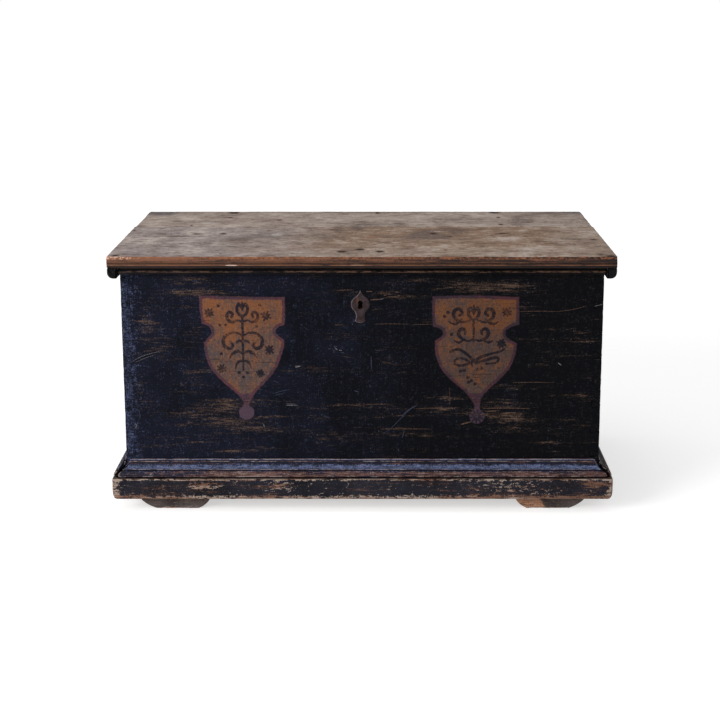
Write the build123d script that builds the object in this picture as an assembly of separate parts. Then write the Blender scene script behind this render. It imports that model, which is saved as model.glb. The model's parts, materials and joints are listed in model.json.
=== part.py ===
from build123d import *
import os
from math import sqrt

# Painted pine dowry chest. Millimetres, +Z up, the front faces -Y, and the origin lies
# on the floor under the middle of the chest's outer box.

# Overall sizes
carcass_length = 1150.0
carcass_depth = 583.0
wall_height = 550.0
foot_height = 37.0
bottom_thickness = 20.0
lid_thickness = 29.0
lid_front_overhang = 32.0
lid_back_overhang = 25.0
lid_end_overhang = 25.0
plinth_projection = 31.5

# Carcass boards and their dovetails
front_thickness = 24.0
back_thickness = 24.0
end_thickness = 22.0
lower_pin_count = 5
pin_count = 9
pin_top_margin = 33.0
pin_bottom_margin = 22.0
pin_narrow = 9.0
pin_wide = 18.0
bottom_board_count = 3

# Plinth board and the moulding on top of it: "out" is measured from the carcass
plinth_board_height = 53.5
plinth_drop = 2.5
plinth_arris = 2.0
plinth_foot_arris = 3.5
mitre_gap = 2.0
moulding_height = 40.5
groove_out = 27.0
groove_high = 1.2
ovolo_out = 29.0
ovolo_low = 3.6
ovolo_high = 17.0
ovolo_belly_out = 27.4
ovolo_belly_high = 12.0
step_out = 20.0
step_high = 20.0
cove_out = 18.0
cove_in = 6.0
cove_high = 36.0
cove_belly_out = 9.6
cove_belly_high = 25.6
lip_out = 4.0

# Feet
foot_outer_inset = 29.5
foot_outer_slope = 44.0
foot_flat = 97.0
foot_inner_slope = 31.5
foot_depth = 95.0
foot_outer_neck_out = 42.0
foot_outer_neck_up = 24.0
foot_outer_belly_out = 22.0
foot_outer_belly_up = 8.5
foot_inner_neck_out = 30.0
foot_inner_neck_up = 23.0
foot_inner_belly_out = 13.0
foot_inner_belly_up = 6.0
peg_radius = 7.0
peg_depth_in_foot = 22.0
peg_spacing = 52.0

# Lid boards, battens and the strip under the front edge
lid_front_board_depth = 400.0
lid_arris = 4.0
lid_back_arris = 3.0
quirk_depth = 2.2
quirk_high = 12.8
bead_high = 11.4
bead_low = 5.0
bead_setback = 0.4
dowel_radius = 5.0
dowel_length = 60.0
dowel_count = 4
dowel_end_margin = 150.0
batten_height = 25.0
batten_round = 14.0
batten_clearance = 1.0
strip_height = 18.0
strip_setback = 3.0
strip_clearance = 1.0
strip_cove_depth = 8.0
strip_cove_height = 7.0
strip_cove_belly_depth = 5.8
strip_cove_belly_drop = 2.9
strip_bead_out = 4.6
strip_bead_height = 4.4
strip_tail_setback = 15.0

# Hinges: a strap under the lid, a leaf on the back and a pin through their knuckles
hinge_spacing = 700.0
knuckle_radius = 6.5
hinge_pin_radius = 3.0
hinge_pin_clearance = 0.05
hinge_axis_clearance = 0.5
lid_knuckle_length = 24.0
leaf_knuckle_length = 11.7
knuckle_side_gap = 0.3
strap_thickness = 3.0
strap_width = 36.0
strap_tip_width = 24.0
strap_length = 380.0
strap_shoulder_inset = 1.0
strap_taper_inset = 6.0
strap_gain_clearance = 0.3
strap_side_clearance = 1.0
leaf_thickness = 3.0
leaf_length = 140.0
leaf_end_round = 16.0
pin_head_radius = 4.8
pin_head_thickness = 1.6
notch_clearance = 2.5
notch_lead = 1.0
notch_height_clearance = 4.0
strap_nail_count = 5
strap_nail_first = 52.0
strap_nail_last = 22.0
leaf_nail_count = 4
leaf_nail_first = 36.0
leaf_nail_last = 12.0
leaf_nail_stagger = 9.0

# Keyhole and escutcheon: "up" is measured from the centre of the keyhole's round part
lock_offset = -4.5
keyhole_below_rim = 89.5
keyhole_radius = 5.5
keyhole_slot = 6.6
keyhole_base = 12.0
keyhole_base_up = -11.0
keyhole_drop = 15.0
keyhole_wood_margin = 0.8
escutcheon_thickness = 2.2
escutcheon_apex_up = 34.0
escutcheon_hollow_up = 22.5
escutcheon_hollow_out = 4.0
escutcheon_shoulder_up = 14.6
escutcheon_shoulder_out = 11.5
escutcheon_widest_out = 22.0
escutcheon_widest_up = 0.0
escutcheon_hip_up = -18.0
escutcheon_hip_out = 16.6
escutcheon_waist_up = -32.0
escutcheon_waist_out = 10.4
escutcheon_toe_up = -44.0
escutcheon_toe_out = 13.6
escutcheon_foot_up = -49.5
escutcheon_nail_top_up = 13.0
escutcheon_nail_foot_up = -38.0

# Lock on the inside of the front board
lock_plate_thickness = 3.0
lock_plate_width = 182.0
lock_plate_height = 145.0
lock_below_rim = 7.0
lock_nail_margin = 12.0
lock_case_width = 150.0
lock_case_height = 128.0
lock_case_depth = 25.0
lock_case_wall = 2.0
bolt_height = 8.0
bolt_thickness = 6.0
bolt_below_rim = 45.0
bolt_stand_off = 11.0
bolt_end_gap = 1.0
bolt_travel = 14.0
bolt_tip_gap = 2.0
bolt_clearance = 0.3
tail_drop = 16.0
tail_guide_gap = 4.0
tail_thrown_gap = 2.0
talon_radius = 4.0
guide_length = 6.0
guide_wall = 3.0
guide_hasp_gap = 5.0
guide_bolt_hold = 4.0
key_post_radius = 2.5
key_post_entry = 1.0
key_post_flange_radius = 6.0
key_post_flange_thickness = 2.0
spring_thickness = 1.2
spring_rise = 13.0
spring_reach = 38.0
spring_curl = 6.0
spring_lug = 6.0

# Hasp under the lid
hasp_plate_length = 68.0
hasp_plate_width = 28.0
hasp_plate_thickness = 3.0
hasp_thickness = 6.0
hasp_width = 14.0
hasp_eye_width = 8.0
hasp_eye_margin = 2.0
hasp_toe = 4.0
hasp_slot_margin = 3.0
hasp_front_gap = 2.0
hasp_nail_margin = 9.0
hasp_nail_spread = 14.0
hasp_nail_head = 4.0

# Till at the left end of the inside
till_width = 146.0
till_height = 110.0
till_below_rim = 17.0
till_side_thickness = 14.0
till_bottom_thickness = 12.0
till_housing = 6.0

# Carrying handles on the ends
handle_below_till = 38.0
handle_eye_spacing = 130.0
handle_drop = 70.0
handle_grip_width = 108.0
handle_rod_radius = 5.5
handle_axis_out = 14.0
handle_eye_radius = 10.5
handle_eye_thickness = 8.0
handle_eye_clearance = 0.4
handle_knob_radius = 7.6
handle_knob_length = 4.0
handle_knob_gap = 1.0
handle_corner_radius = 18.0
handle_turn_radius = 7.0
handle_plate_size = 34.0
handle_plate_thickness = 2.5
handle_shank = 7.0
handle_clinch_length = 24.0
handle_clinch_thickness = 4.0

# Wrought nails
nail_shank = 3.0
nail_head_radius = 5.0
nail_head_height = 1.8
nail_head_sides = 6
nail_head_slope = 40.0
nail_grip = 18.0
pin_shank = 2.4
pin_nail_head_radius = 2.6
pin_nail_head_height = 1.0
pin_nail_grip = 12.0
brad_recess = 1.5
cut_over = 1.0
cut_nail_shank = 4.0
plinth_nail_margin = 60.0
plinth_nail_count = 5
brad_margin = 40.0
brad_count = 6
brad_side_count = 3
batten_nail_margin = 60.0
batten_nail_count = 5
strip_nail_margin = 70.0
strip_nail_count = 6
bottom_nail_grip = 28.0
bottom_nail_count = 4
foot_nail_gap = 40.0

# Levels and faces worked out from the sizes above
bottom_z = foot_height
wall_z = bottom_z + bottom_thickness
rim_z = wall_z + wall_height
top_z = rim_z + lid_thickness
plinth_top_z = bottom_z - plinth_drop + plinth_board_height
end_x = carcass_length / 2
front_reach = max(lid_front_overhang, plinth_projection)
front_y = front_reach - (carcass_depth + front_reach + lid_back_overhang) / 2
back_y = front_y + carcass_depth
inner_front_y = front_y + front_thickness
inner_back_y = back_y - back_thickness
inner_end_x = end_x - end_thickness
lid_end_x = end_x + lid_end_overhang
lid_front_y = front_y - lid_front_overhang
lid_back_y = back_y + lid_back_overhang
lid_joint_y = lid_front_y + lid_front_board_depth
hinge_axis_y = back_y + knuckle_radius + hinge_axis_clearance
hinge_axis_z = rim_z - strap_thickness / 2
keyhole_z = rim_z - keyhole_below_rim
lock_plate_y = inner_front_y + lock_plate_thickness
lock_case_y = lock_plate_y + lock_case_depth
lock_top_z = rim_z - lock_below_rim
bolt_z = rim_z - bolt_below_rim
bolt_y = lock_plate_y + bolt_stand_off
hinge_xs = (-hinge_spacing / 2, hinge_spacing / 2)
till_floor_z = rim_z - till_below_rim - till_height
handle_z = till_floor_z - till_bottom_thickness - handle_below_till

OUT_FRONT = (0, -1, 0)
OUT_BACK = (0, 1, 0)
OUT_LEFT = (-1, 0, 0)
OUT_RIGHT = (1, 0, 0)
OUT_UP = (0, 0, 1)
OUT_DOWN = (0, 0, -1)


def block(x_range, y_range, z_range):
    """A box between two planes in each direction."""
    sizes = [high - low for low, high in (x_range, y_range, z_range)]
    middle = [(high + low) / 2 for low, high in (x_range, y_range, z_range)]
    return Pos(*middle) * Box(*sizes)


def outline(start, steps, place):
    """A closed flat face. A step is a point, or a pair: an arc through one point to the next."""
    edges = []
    here = start
    for step in steps + [start]:
        if isinstance(step[0], tuple):
            edges.append(ThreePointArc(place(*here), place(*step[0]), place(*step[1])))
            here = step[1]
        elif step != here:
            edges.append(Line(place(*here), place(*step)))
            here = step
    return Face(Wire(edges))


def run_x(face, x_low, x_high):
    """Carry a face drawn at x = 0 from one x to another."""
    return Pos(x_low, 0, 0) * extrude(face, amount=x_high - x_low, dir=(1, 0, 0))


def run_y(face, y_low, y_high):
    """Carry a face drawn at y = 0 from one y to another."""
    return Pos(0, y_low, 0) * extrude(face, amount=y_high - y_low, dir=(0, 1, 0))


def run_z(face, z_low, z_high):
    """Carry a face drawn at z = 0 from one z to another."""
    return Pos(0, 0, z_low) * extrude(face, amount=z_high - z_low, dir=(0, 0, 1))


def mirrored(point):
    return (-point[0], point[1])


def on_side(side, points):
    """Outline points, arcs included, for the left (-1) or the right (1) end."""
    flipped = []
    for point in points:
        if isinstance(point[0], tuple):
            flipped.append(tuple((side * x, z) for x, z in point))
        else:
            flipped.append((side * point[0], point[1]))
    return flipped


def in_yz(y, z):
    return (0, y, z)


def in_xz(x, z):
    return (x, 0, z)


def in_xy(x, y):
    return (x, y, 0)


def spread(low, high, count):
    """Evenly spaced places from low to high, both included."""
    if count < 2:
        return [(low + high) / 2]
    return [low + (high - low) * step / (count - 1) for step in range(count)]


def rod(point, out, radius, length):
    """A round rod that starts at a point and runs along out."""
    place = Plane(origin=point, z_dir=out)
    return place.location * Cylinder(radius, length, align=(Align.CENTER, Align.CENTER, Align.MIN))


def nail(point, out, length, shank=nail_shank, head=nail_head_radius, height=nail_head_height):
    """A square nail whose six-sided head stands on the surface that out points away from."""
    sideways = (0, 1, 0) if out[0] else (1, 0, 0)
    place = Plane(origin=point, x_dir=sideways, z_dir=out)
    body = Box(shank, shank, length, align=(Align.CENTER, Align.CENTER, Align.MAX))
    crown = extrude(RegularPolygon(head, nail_head_sides), amount=height, taper=nail_head_slope)
    return place.location * (body + crown)


def small_nail(point, out, length):
    return nail(point, out, length, pin_shank, pin_nail_head_radius, pin_nail_head_height)


def brad(point, out, length, shank=pin_shank):
    """A headless nail whose top lies at the point."""
    sideways = (0, 1, 0) if out[0] else (1, 0, 0)
    place = Plane(origin=point, x_dir=sideways, z_dir=out)
    return place.location * Box(shank, shank, length, align=(Align.CENTER, Align.CENTER, Align.MAX))


def pin_levels():
    """Heights of the dovetail pins, from the bottom up."""
    return spread(wall_z + pin_bottom_margin, rim_z - pin_top_margin, pin_count)


def back_seam_z():
    """The joint between the two back boards, halfway between two dovetail pins."""
    levels = pin_levels()
    return (levels[lower_pin_count - 1] + levels[lower_pin_count]) / 2


def dovetail_pins(side, y_low, y_high):
    """The pins of one end board where they pass through the front or the back."""
    pins = []
    for level in pin_levels():
        corners = [(inner_end_x, level - pin_wide / 2), (inner_end_x, level + pin_wide / 2),
                   (end_x, level + pin_narrow / 2), (end_x, level - pin_narrow / 2)]
        points = on_side(side, corners)
        pins.append(run_y(outline(points[0], points[1:], in_xz), y_low, y_high))
    return pins


def all_dovetail_pins(y_low, y_high):
    return dovetail_pins(-1, y_low, y_high) + dovetail_pins(1, y_low, y_high)


def end_board(side):
    x_range = sorted((side * inner_end_x, side * end_x))
    board = block(x_range, (inner_front_y, inner_back_y), (wall_z, rim_z))
    board += dovetail_pins(side, front_y, inner_front_y)
    board += dovetail_pins(side, inner_back_y, back_y)
    return board


def keyhole(margin, y_low, y_high):
    """The keyhole's shape: a round part with a slot under it that widens at its base."""
    radius = keyhole_radius + margin
    half_slot = keyhole_slot / 2 + margin
    half_base = keyhole_base / 2 + margin
    steps = [(half_slot, 0), (half_base, keyhole_base_up),
             ((0, -keyhole_drop - margin), (-half_base, keyhole_base_up))]
    face = outline((-half_slot, 0), steps, lambda out, up: (lock_offset + out, 0, keyhole_z + up))
    cut = run_y(face, y_low, y_high)
    return cut + rod((lock_offset, y_low, keyhole_z), OUT_BACK, radius, y_high - y_low)


def till_pieces():
    """The till's side and bottom, with the ends that stand in the walls' grooves."""
    y_range = (inner_front_y - till_housing, inner_back_y + till_housing)
    side_x = -inner_end_x + till_width
    side = block((side_x, side_x + till_side_thickness), y_range, (till_floor_z, rim_z - till_below_rim))
    bottom_x = (-inner_end_x - till_housing, side_x + till_side_thickness)
    bottom = block(bottom_x, y_range, (till_floor_z - till_bottom_thickness, till_floor_z))
    return side, bottom


def hinge_gains():
    """The shallow recesses in the back's top edge that the straps pass through."""
    half = strap_width / 2 + strap_side_clearance
    depth = strap_thickness + strap_gain_clearance
    return [block((x - half, x + half), (inner_back_y, back_y), (rim_z - depth, rim_z)) for x in hinge_xs]


# Moulded runs round the plinth
def plinth_board_profile(place):
    """The plinth board reaches a little below the bottom boards and has soft arrises."""
    low = bottom_z - plinth_drop
    high = plinth_top_z
    out = plinth_projection
    foot_turn = plinth_foot_arris
    foot_bend = foot_turn * (1 - 1 / sqrt(2))
    turn = plinth_arris
    bend = turn * (1 - 1 / sqrt(2))
    steps = [(out - foot_turn, low), ((out - foot_bend, low + foot_bend), (out, low + foot_turn)),
             (out, high - turn), ((out - bend, high - bend), (out - turn, high)), (0, high)]
    return outline((0, low), steps, place)


def moulding_profile(place):
    base = plinth_top_z
    steps = [(groove_out, base), (groove_out, base + groove_high), (ovolo_out, base + ovolo_low),
             ((ovolo_belly_out, base + ovolo_belly_high), (step_out, base + ovolo_high)),
             (step_out, base + step_high), (cove_out, base + step_high),
             ((cove_belly_out, base + cove_belly_high), (cove_in, base + cove_high)),
             (lip_out, base + cove_high), (lip_out, base + moulding_height), (0, base + moulding_height)]
    return outline((0, base), steps, place)


def front_run(profile, gap):
    """A run along the front, mitred at both corners with half the gap taken off each end."""
    reach = end_x + plinth_projection
    shift = gap / 2 * sqrt(2)
    run = run_x(profile(lambda out, z: (0, front_y - out, z)), -reach, reach)
    corners = [(-end_x + shift, front_y), (end_x - shift, front_y),
               (reach - shift, front_y - plinth_projection), (-reach + shift, front_y - plinth_projection)]
    plan = outline(corners[0], corners[1:], in_xy)
    return run & run_z(plan, 0, top_z)


def side_run(profile, side, gap):
    """A run along one end, mitred at the front corner and square at the back."""
    shift = gap / 2 * sqrt(2)
    front_most = front_y - plinth_projection
    run = run_y(profile(lambda out, z: (side * (end_x + out), 0, z)), front_most, back_y)
    corners = [(end_x, front_y + shift), (end_x, back_y), (end_x + plinth_projection, back_y),
               (end_x + plinth_projection, front_most + shift)]
    points = on_side(side, corners)
    plan = outline(points[0], points[1:], in_xy)
    return run & run_z(plan, 0, top_z)


def plinth_nails():
    """Cut nails through the plinth boards into the bottom's edges, flush with the face."""
    level = bottom_z + bottom_thickness / 2
    length = plinth_projection + nail_grip
    reach = end_x - plinth_nail_margin
    nails = [brad((x, front_y - plinth_projection, level), OUT_FRONT, length, cut_nail_shank)
             for x in spread(-reach, reach, plinth_nail_count)]
    for y in bottom_board_middles():
        for out in (OUT_LEFT, OUT_RIGHT):
            face = out[0] * (end_x + plinth_projection)
            nails.append(brad((face, y, level), out, length, cut_nail_shank))
    return nails


def moulding_brads():
    """Brads punched a little below the moulding's face, and the holes that they leave."""
    level = plinth_top_z + (ovolo_high + step_high) / 2
    out = step_out - brad_recess
    length = out + pin_nail_grip
    reach = end_x - brad_margin
    brads = [brad((x, front_y - out, level), OUT_FRONT, length) for x in spread(-reach, reach, brad_count)]
    holes = [Pos(0, -brad_recess, 0) * piece for piece in brads]
    for side in (-1, 1):
        for y in spread(front_y + brad_margin, back_y - brad_margin, brad_side_count):
            piece = brad((side * (end_x + out), y, level), (side, 0, 0), length)
            brads.append(piece)
            holes.append(Pos(side * brad_recess, 0, 0) * piece)
    return brads, holes


# Feet
def foot(side, y_low):
    """A low foot: flat sole, a long rounded slope outwards and a short one inwards."""
    outer = end_x - foot_outer_inset
    sole_outer = outer - foot_outer_slope
    sole_inner = sole_outer - foot_flat
    inner = sole_inner - foot_inner_slope
    outer_belly = (sole_outer + foot_outer_belly_out, foot_outer_belly_up)
    outer_neck = (sole_outer + foot_outer_neck_out, foot_outer_neck_up)
    inner_belly = (sole_inner - foot_inner_belly_out, foot_inner_belly_up)
    inner_neck = (sole_inner - foot_inner_neck_out, foot_inner_neck_up)
    steps = [(sole_outer, 0), (outer_belly, outer_neck), (outer, bottom_z), (inner, bottom_z),
             inner_neck, (inner_belly, (sole_inner, 0))]
    points = on_side(side, [(sole_inner, 0)] + steps)
    return run_y(outline(points[0], points[1:], in_xz), y_low, y_low + foot_depth)


def foot_centre_x():
    return end_x - foot_outer_inset - foot_outer_slope - foot_flat / 2


def foot_rows():
    """Where the front and the rear pair of feet start in y."""
    return {"front": front_y, "rear": back_y - foot_depth}


def foot_pegs():
    """Two wooden pegs through the bottom into each foot."""
    pegs = []
    low = bottom_z - peg_depth_in_foot
    for side in (-1, 1):
        for start in foot_rows().values():
            middle = start + foot_depth / 2
            for shift in (-peg_spacing / 2, peg_spacing / 2):
                point = (side * foot_centre_x() + shift, middle, low)
                pegs.append(rod(point, OUT_UP, peg_radius, wall_z - low))
    return pegs


def bottom_board_middles():
    width = carcass_depth / bottom_board_count
    return [front_y + (step + 0.5) * width for step in range(bottom_board_count)]


def bottom_boards():
    width = carcass_depth / bottom_board_count
    boards = []
    for step in range(bottom_board_count):
        low = front_y + step * width
        boards.append(block((-end_x, end_x), (low, low + width), (bottom_z, wall_z)))
    return boards


def bottom_nails():
    """Roseheads driven up through the bottom boards into the walls, clear of the feet."""
    length = bottom_thickness + bottom_nail_grip
    reach = foot_centre_x() - foot_flat / 2 - foot_inner_slope - foot_nail_gap
    points = []
    for x in spread(-reach, reach, bottom_nail_count):
        points.append((x, front_y + front_thickness / 2))
        points.append((x, back_y - back_thickness / 2))
    quarter = carcass_depth / bottom_board_count / 4
    for middle in bottom_board_middles():
        for side in (-1, 1):
            points.append((side * (end_x - end_thickness / 2), middle - quarter))
            points.append((side * (end_x - end_thickness / 2), middle + quarter))
    return [nail((x, y, bottom_z), OUT_DOWN, length) for x, y in points]


# Lid
def lid_front_profile():
    """Section of the front lid board: worn arris, flat, quirk and bead on its front edge."""
    face = lid_front_y
    bend = lid_arris * (1 - 1 / sqrt(2))
    bead_tip = (face + bead_setback, rim_z + (bead_high + bead_low) / 2)
    steps = [(lid_joint_y, top_z), (face + lid_arris, top_z),
             ((face + bend, top_z - bend), (face, top_z - lid_arris)),
             (face, rim_z + quirk_high), (face + quirk_depth, rim_z + bead_high),
             (bead_tip, (face + quirk_depth, rim_z + bead_low)),
             (face + quirk_depth, rim_z)]
    return outline((lid_joint_y, rim_z), steps, in_yz)


def lid_back_profile():
    bend = lid_back_arris * (1 - 1 / sqrt(2))
    steps = [(lid_back_y, rim_z), (lid_back_y, top_z - lid_back_arris),
             ((lid_back_y - bend, top_z - bend), (lid_back_y - lid_back_arris, top_z)),
             (lid_joint_y, top_z)]
    return outline((lid_joint_y, rim_z), steps, in_yz)


def lid_dowels():
    reach = lid_end_x - dowel_end_margin
    level = rim_z + lid_thickness / 2
    start = lid_joint_y - dowel_length / 2
    return [rod((x, start, level), OUT_BACK, dowel_radius, dowel_length)
            for x in spread(-reach, reach, dowel_count)]


def lid_end_batten(side):
    """A batten under one end of the lid, rounded along its lower outer edge."""
    inner = end_x + batten_clearance
    low = rim_z - batten_height
    bend = batten_round * (1 - 1 / sqrt(2))
    steps = [(lid_end_x, rim_z), (lid_end_x, low + batten_round),
             ((lid_end_x - bend, low + bend), (lid_end_x - batten_round, low)), (inner, low)]
    points = on_side(side, [(inner, rim_z)] + steps)
    return run_y(outline(points[0], points[1:], in_xz), lid_front_y, lid_back_y)


def batten_nails():
    length = batten_height + nail_grip
    middle = (end_x + batten_clearance + lid_end_x - batten_round) / 2
    nails = []
    for y in spread(lid_front_y + batten_nail_margin, lid_back_y - batten_nail_margin, batten_nail_count):
        for side in (-1, 1):
            nails.append(nail((side * middle, y, rim_z - batten_height), OUT_DOWN, length))
    return nails


def lid_strip():
    """The moulded strip under the lid's front edge, between the two battens."""
    inner = front_y - strip_clearance
    face = lid_front_y + strip_setback
    throat = face + strip_cove_depth
    cove_low = rim_z - strip_cove_height
    bead_low_z = cove_low - strip_bead_height
    low = rim_z - strip_height
    cove_belly = (face + strip_cove_belly_depth, rim_z - strip_cove_belly_drop)
    bead_tip = (throat - strip_bead_out, (cove_low + bead_low_z) / 2)
    steps = [(face, rim_z), (cove_belly, (throat, cove_low)), (bead_tip, (throat, bead_low_z)),
             (face + strip_tail_setback, low), (inner, low)]
    reach = end_x + batten_clearance
    return run_x(outline((inner, rim_z), steps, in_yz), -reach, reach)


def strip_nails():
    middle = (front_y - strip_clearance + lid_front_y + strip_setback + strip_tail_setback) / 2
    length = strip_height + pin_nail_grip
    reach = end_x - strip_nail_margin
    return [small_nail((x, middle, rim_z - strip_height), OUT_DOWN, length)
            for x in spread(-reach, reach, strip_nail_count)]


# Hinges
def knuckle(x_low, x_high):
    """One knuckle, bored for the pin."""
    bore = hinge_pin_radius + hinge_pin_clearance
    axis_point = (x_low, hinge_axis_y, hinge_axis_z)
    outer = rod(axis_point, OUT_RIGHT, knuckle_radius, x_high - x_low)
    return outer, rod(axis_point, OUT_RIGHT, bore, x_high - x_low)


def hinge_strap(x):
    """The strap lies under the lid, tapers to a rounded tip and ends in the middle knuckle."""
    tip_y = back_y - strap_length
    half = strap_width / 2
    tip_half = strap_tip_width / 2
    neck = lid_knuckle_length / 2
    shoulder_y = back_y - strap_shoulder_inset
    taper_y = inner_back_y - strap_taper_inset
    points = [(x - neck, hinge_axis_y), (x - neck, shoulder_y), (x - half, shoulder_y),
              (x - half, taper_y), (x - tip_half, tip_y + tip_half),
              ((x, tip_y), (x + tip_half, tip_y + tip_half)), (x + half, taper_y),
              (x + half, shoulder_y), (x + neck, shoulder_y), (x + neck, hinge_axis_y)]
    plate = run_z(outline(points[0], points[1:], in_xy), rim_z - strap_thickness, rim_z)
    outer, bore = knuckle(x - neck, x + neck)
    return plate + outer - bore


def leaf_half_width():
    return lid_knuckle_length / 2 + knuckle_side_gap + leaf_knuckle_length


def hinge_leaf(x):
    """The leaf lies on the back, with the two outer knuckles at its top."""
    half = leaf_half_width()
    gap = lid_knuckle_length / 2 + knuckle_side_gap
    low = rim_z - leaf_length
    saddle = hinge_axis_z - knuckle_radius - hinge_axis_clearance
    points = [(x - half, hinge_axis_z), (x - half, low + leaf_end_round),
              ((x, low), (x + half, low + leaf_end_round)), (x + half, hinge_axis_z),
              (x + gap, hinge_axis_z), (x + gap, saddle), (x - gap, saddle), (x - gap, hinge_axis_z)]
    leaf = run_y(outline(points[0], points[1:], in_xz), back_y, back_y + leaf_thickness)
    for start in (x - half, x + gap):
        outer, bore = knuckle(start, start + leaf_knuckle_length)
        leaf = leaf + outer - bore
    return leaf


def hinge_pin(x):
    half = leaf_half_width()
    start = (x - half, hinge_axis_y, hinge_axis_z)
    end = (x + half, hinge_axis_y, hinge_axis_z)
    shaft = rod(start, OUT_RIGHT, hinge_pin_radius, 2 * half)
    heads = [rod(start, OUT_LEFT, pin_head_radius, pin_head_thickness),
             rod(end, OUT_RIGHT, pin_head_radius, pin_head_thickness)]
    return shaft + heads


def hinge_notches():
    """Recesses under the lid's back edge that clear the knuckles."""
    half = leaf_half_width() + pin_head_thickness + notch_clearance
    y_range = (back_y - notch_lead, hinge_axis_y + knuckle_radius + notch_clearance)
    z_range = (rim_z, hinge_axis_z + knuckle_radius + notch_height_clearance)
    return [block((x - half, x + half), y_range, z_range) for x in hinge_xs]


def strap_nails():
    length = strap_thickness + nail_grip
    first = back_y - strap_nail_first
    last = back_y - strap_length + strap_nail_last
    return [nail((x, y, rim_z - strap_thickness), OUT_DOWN, length)
            for x in hinge_xs for y in spread(first, last, strap_nail_count)]


def leaf_nails():
    length = leaf_thickness + nail_grip
    nails = []
    levels = spread(rim_z - leaf_nail_first, rim_z - leaf_length + leaf_nail_last, leaf_nail_count)
    for x in hinge_xs:
        for step, level in enumerate(levels):
            last = step == leaf_nail_count - 1
            shift = 0 if last else leaf_nail_stagger * (-1) ** step
            nails.append(nail((x + shift, back_y + leaf_thickness, level), OUT_BACK, length))
    return nails


# Lock and escutcheon
def escutcheon():
    """A pointed plate with a wide middle, a waist and a flared foot, pierced by the keyhole."""
    apex = (0, escutcheon_apex_up)
    hollow = (escutcheon_hollow_out, escutcheon_hollow_up)
    shoulder = (escutcheon_shoulder_out, escutcheon_shoulder_up)
    widest = (escutcheon_widest_out, escutcheon_widest_up)
    hip = (escutcheon_hip_out, escutcheon_hip_up)
    waist = (escutcheon_waist_out, escutcheon_waist_up)
    toe = (escutcheon_toe_out, escutcheon_toe_up)
    right = [(hollow, shoulder), (widest, hip), (waist, toe)]
    foot_arc = [((0, escutcheon_foot_up), mirrored(toe))]
    left = [(mirrored(waist), mirrored(hip)), (mirrored(widest), mirrored(shoulder)),
            (mirrored(hollow), apex)]
    face = outline(apex, right + foot_arc + left, lambda out, up: (lock_offset + out, 0, keyhole_z + up))
    plate = run_y(face, front_y - escutcheon_thickness, front_y)
    return plate - keyhole(0, front_y - escutcheon_thickness - cut_over, front_y + cut_over)


def escutcheon_nails():
    length = escutcheon_thickness + pin_nail_grip
    return [small_nail((lock_offset, front_y - escutcheon_thickness, keyhole_z + up), OUT_FRONT, length)
            for up in (escutcheon_nail_top_up, escutcheon_nail_foot_up)]


def lock_plate():
    half = lock_plate_width / 2
    plate = block((lock_offset - half, lock_offset + half), (inner_front_y, lock_plate_y),
                  (lock_top_z - lock_plate_height, lock_top_z))
    return plate - keyhole(0, inner_front_y - cut_over, lock_plate_y + cut_over)


def lock_case():
    """A shallow case on the lock plate, open towards it and slotted for the hasp on top."""
    half = lock_case_width / 2
    low = lock_top_z - lock_case_height
    inner = half - lock_case_wall
    case = block((lock_offset - half, lock_offset + half), (lock_plate_y, lock_case_y), (low, lock_top_z))
    case -= block((lock_offset - inner, lock_offset + inner), (lock_plate_y, lock_case_y - lock_case_wall),
                  (low + lock_case_wall, lock_top_z - lock_case_wall))
    slot = hasp_thickness / 2 + hasp_slot_margin
    case -= block((lock_offset - slot, lock_offset + slot),
                  (lock_plate_y, bolt_y + hasp_width / 2 + hasp_front_gap),
                  (lock_top_z - lock_case_wall, lock_top_z))
    return case


def bolt_ends():
    """Where the bolt starts and ends in x while it is drawn back."""
    start = lock_offset - lock_case_width / 2 + lock_case_wall + bolt_end_gap
    return start, lock_offset - hasp_thickness / 2 - bolt_tip_gap


def guide_starts():
    """Where the far, the near and the catching guide start in x."""
    far = bolt_ends()[0] + bolt_travel + guide_bolt_hold
    near = lock_offset - hasp_thickness / 2 - guide_hasp_gap - guide_length
    return far, near, lock_offset + hasp_thickness / 2 + guide_hasp_gap


def lock_bolt():
    """The bolt, drawn back, with a tail that the key's bit would push."""
    far, near, _ = guide_starts()
    y_range = (bolt_y - bolt_thickness / 2, bolt_y + bolt_thickness / 2)
    bar = block(bolt_ends(), y_range, (bolt_z - bolt_height / 2, bolt_z + bolt_height / 2))
    low = bolt_z - bolt_height / 2 - tail_drop
    tail_x = (far + guide_length + tail_guide_gap, near - bolt_travel - tail_thrown_gap)
    tail = block(tail_x, y_range, (low, bolt_z))
    talon = rod((sum(tail_x) / 2, y_range[0], low), OUT_BACK, talon_radius, bolt_thickness)
    return bar + tail - talon


def bolt_guides():
    """Three guides that stand on the lock plate and hold the bolt."""
    hole_y = (bolt_y - bolt_thickness / 2 - bolt_clearance, bolt_y + bolt_thickness / 2 + bolt_clearance)
    hole_z = (bolt_z - bolt_height / 2 - bolt_clearance, bolt_z + bolt_height / 2 + bolt_clearance)
    y_range = (lock_plate_y, hole_y[1] + guide_wall)
    z_range = (hole_z[0] - guide_wall, hole_z[1] + guide_wall)
    guides = []
    for start in guide_starts():
        x_range = (start, start + guide_length)
        guides.append(block(x_range, y_range, z_range) - block(x_range, hole_y, hole_z))
    return guides


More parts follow.
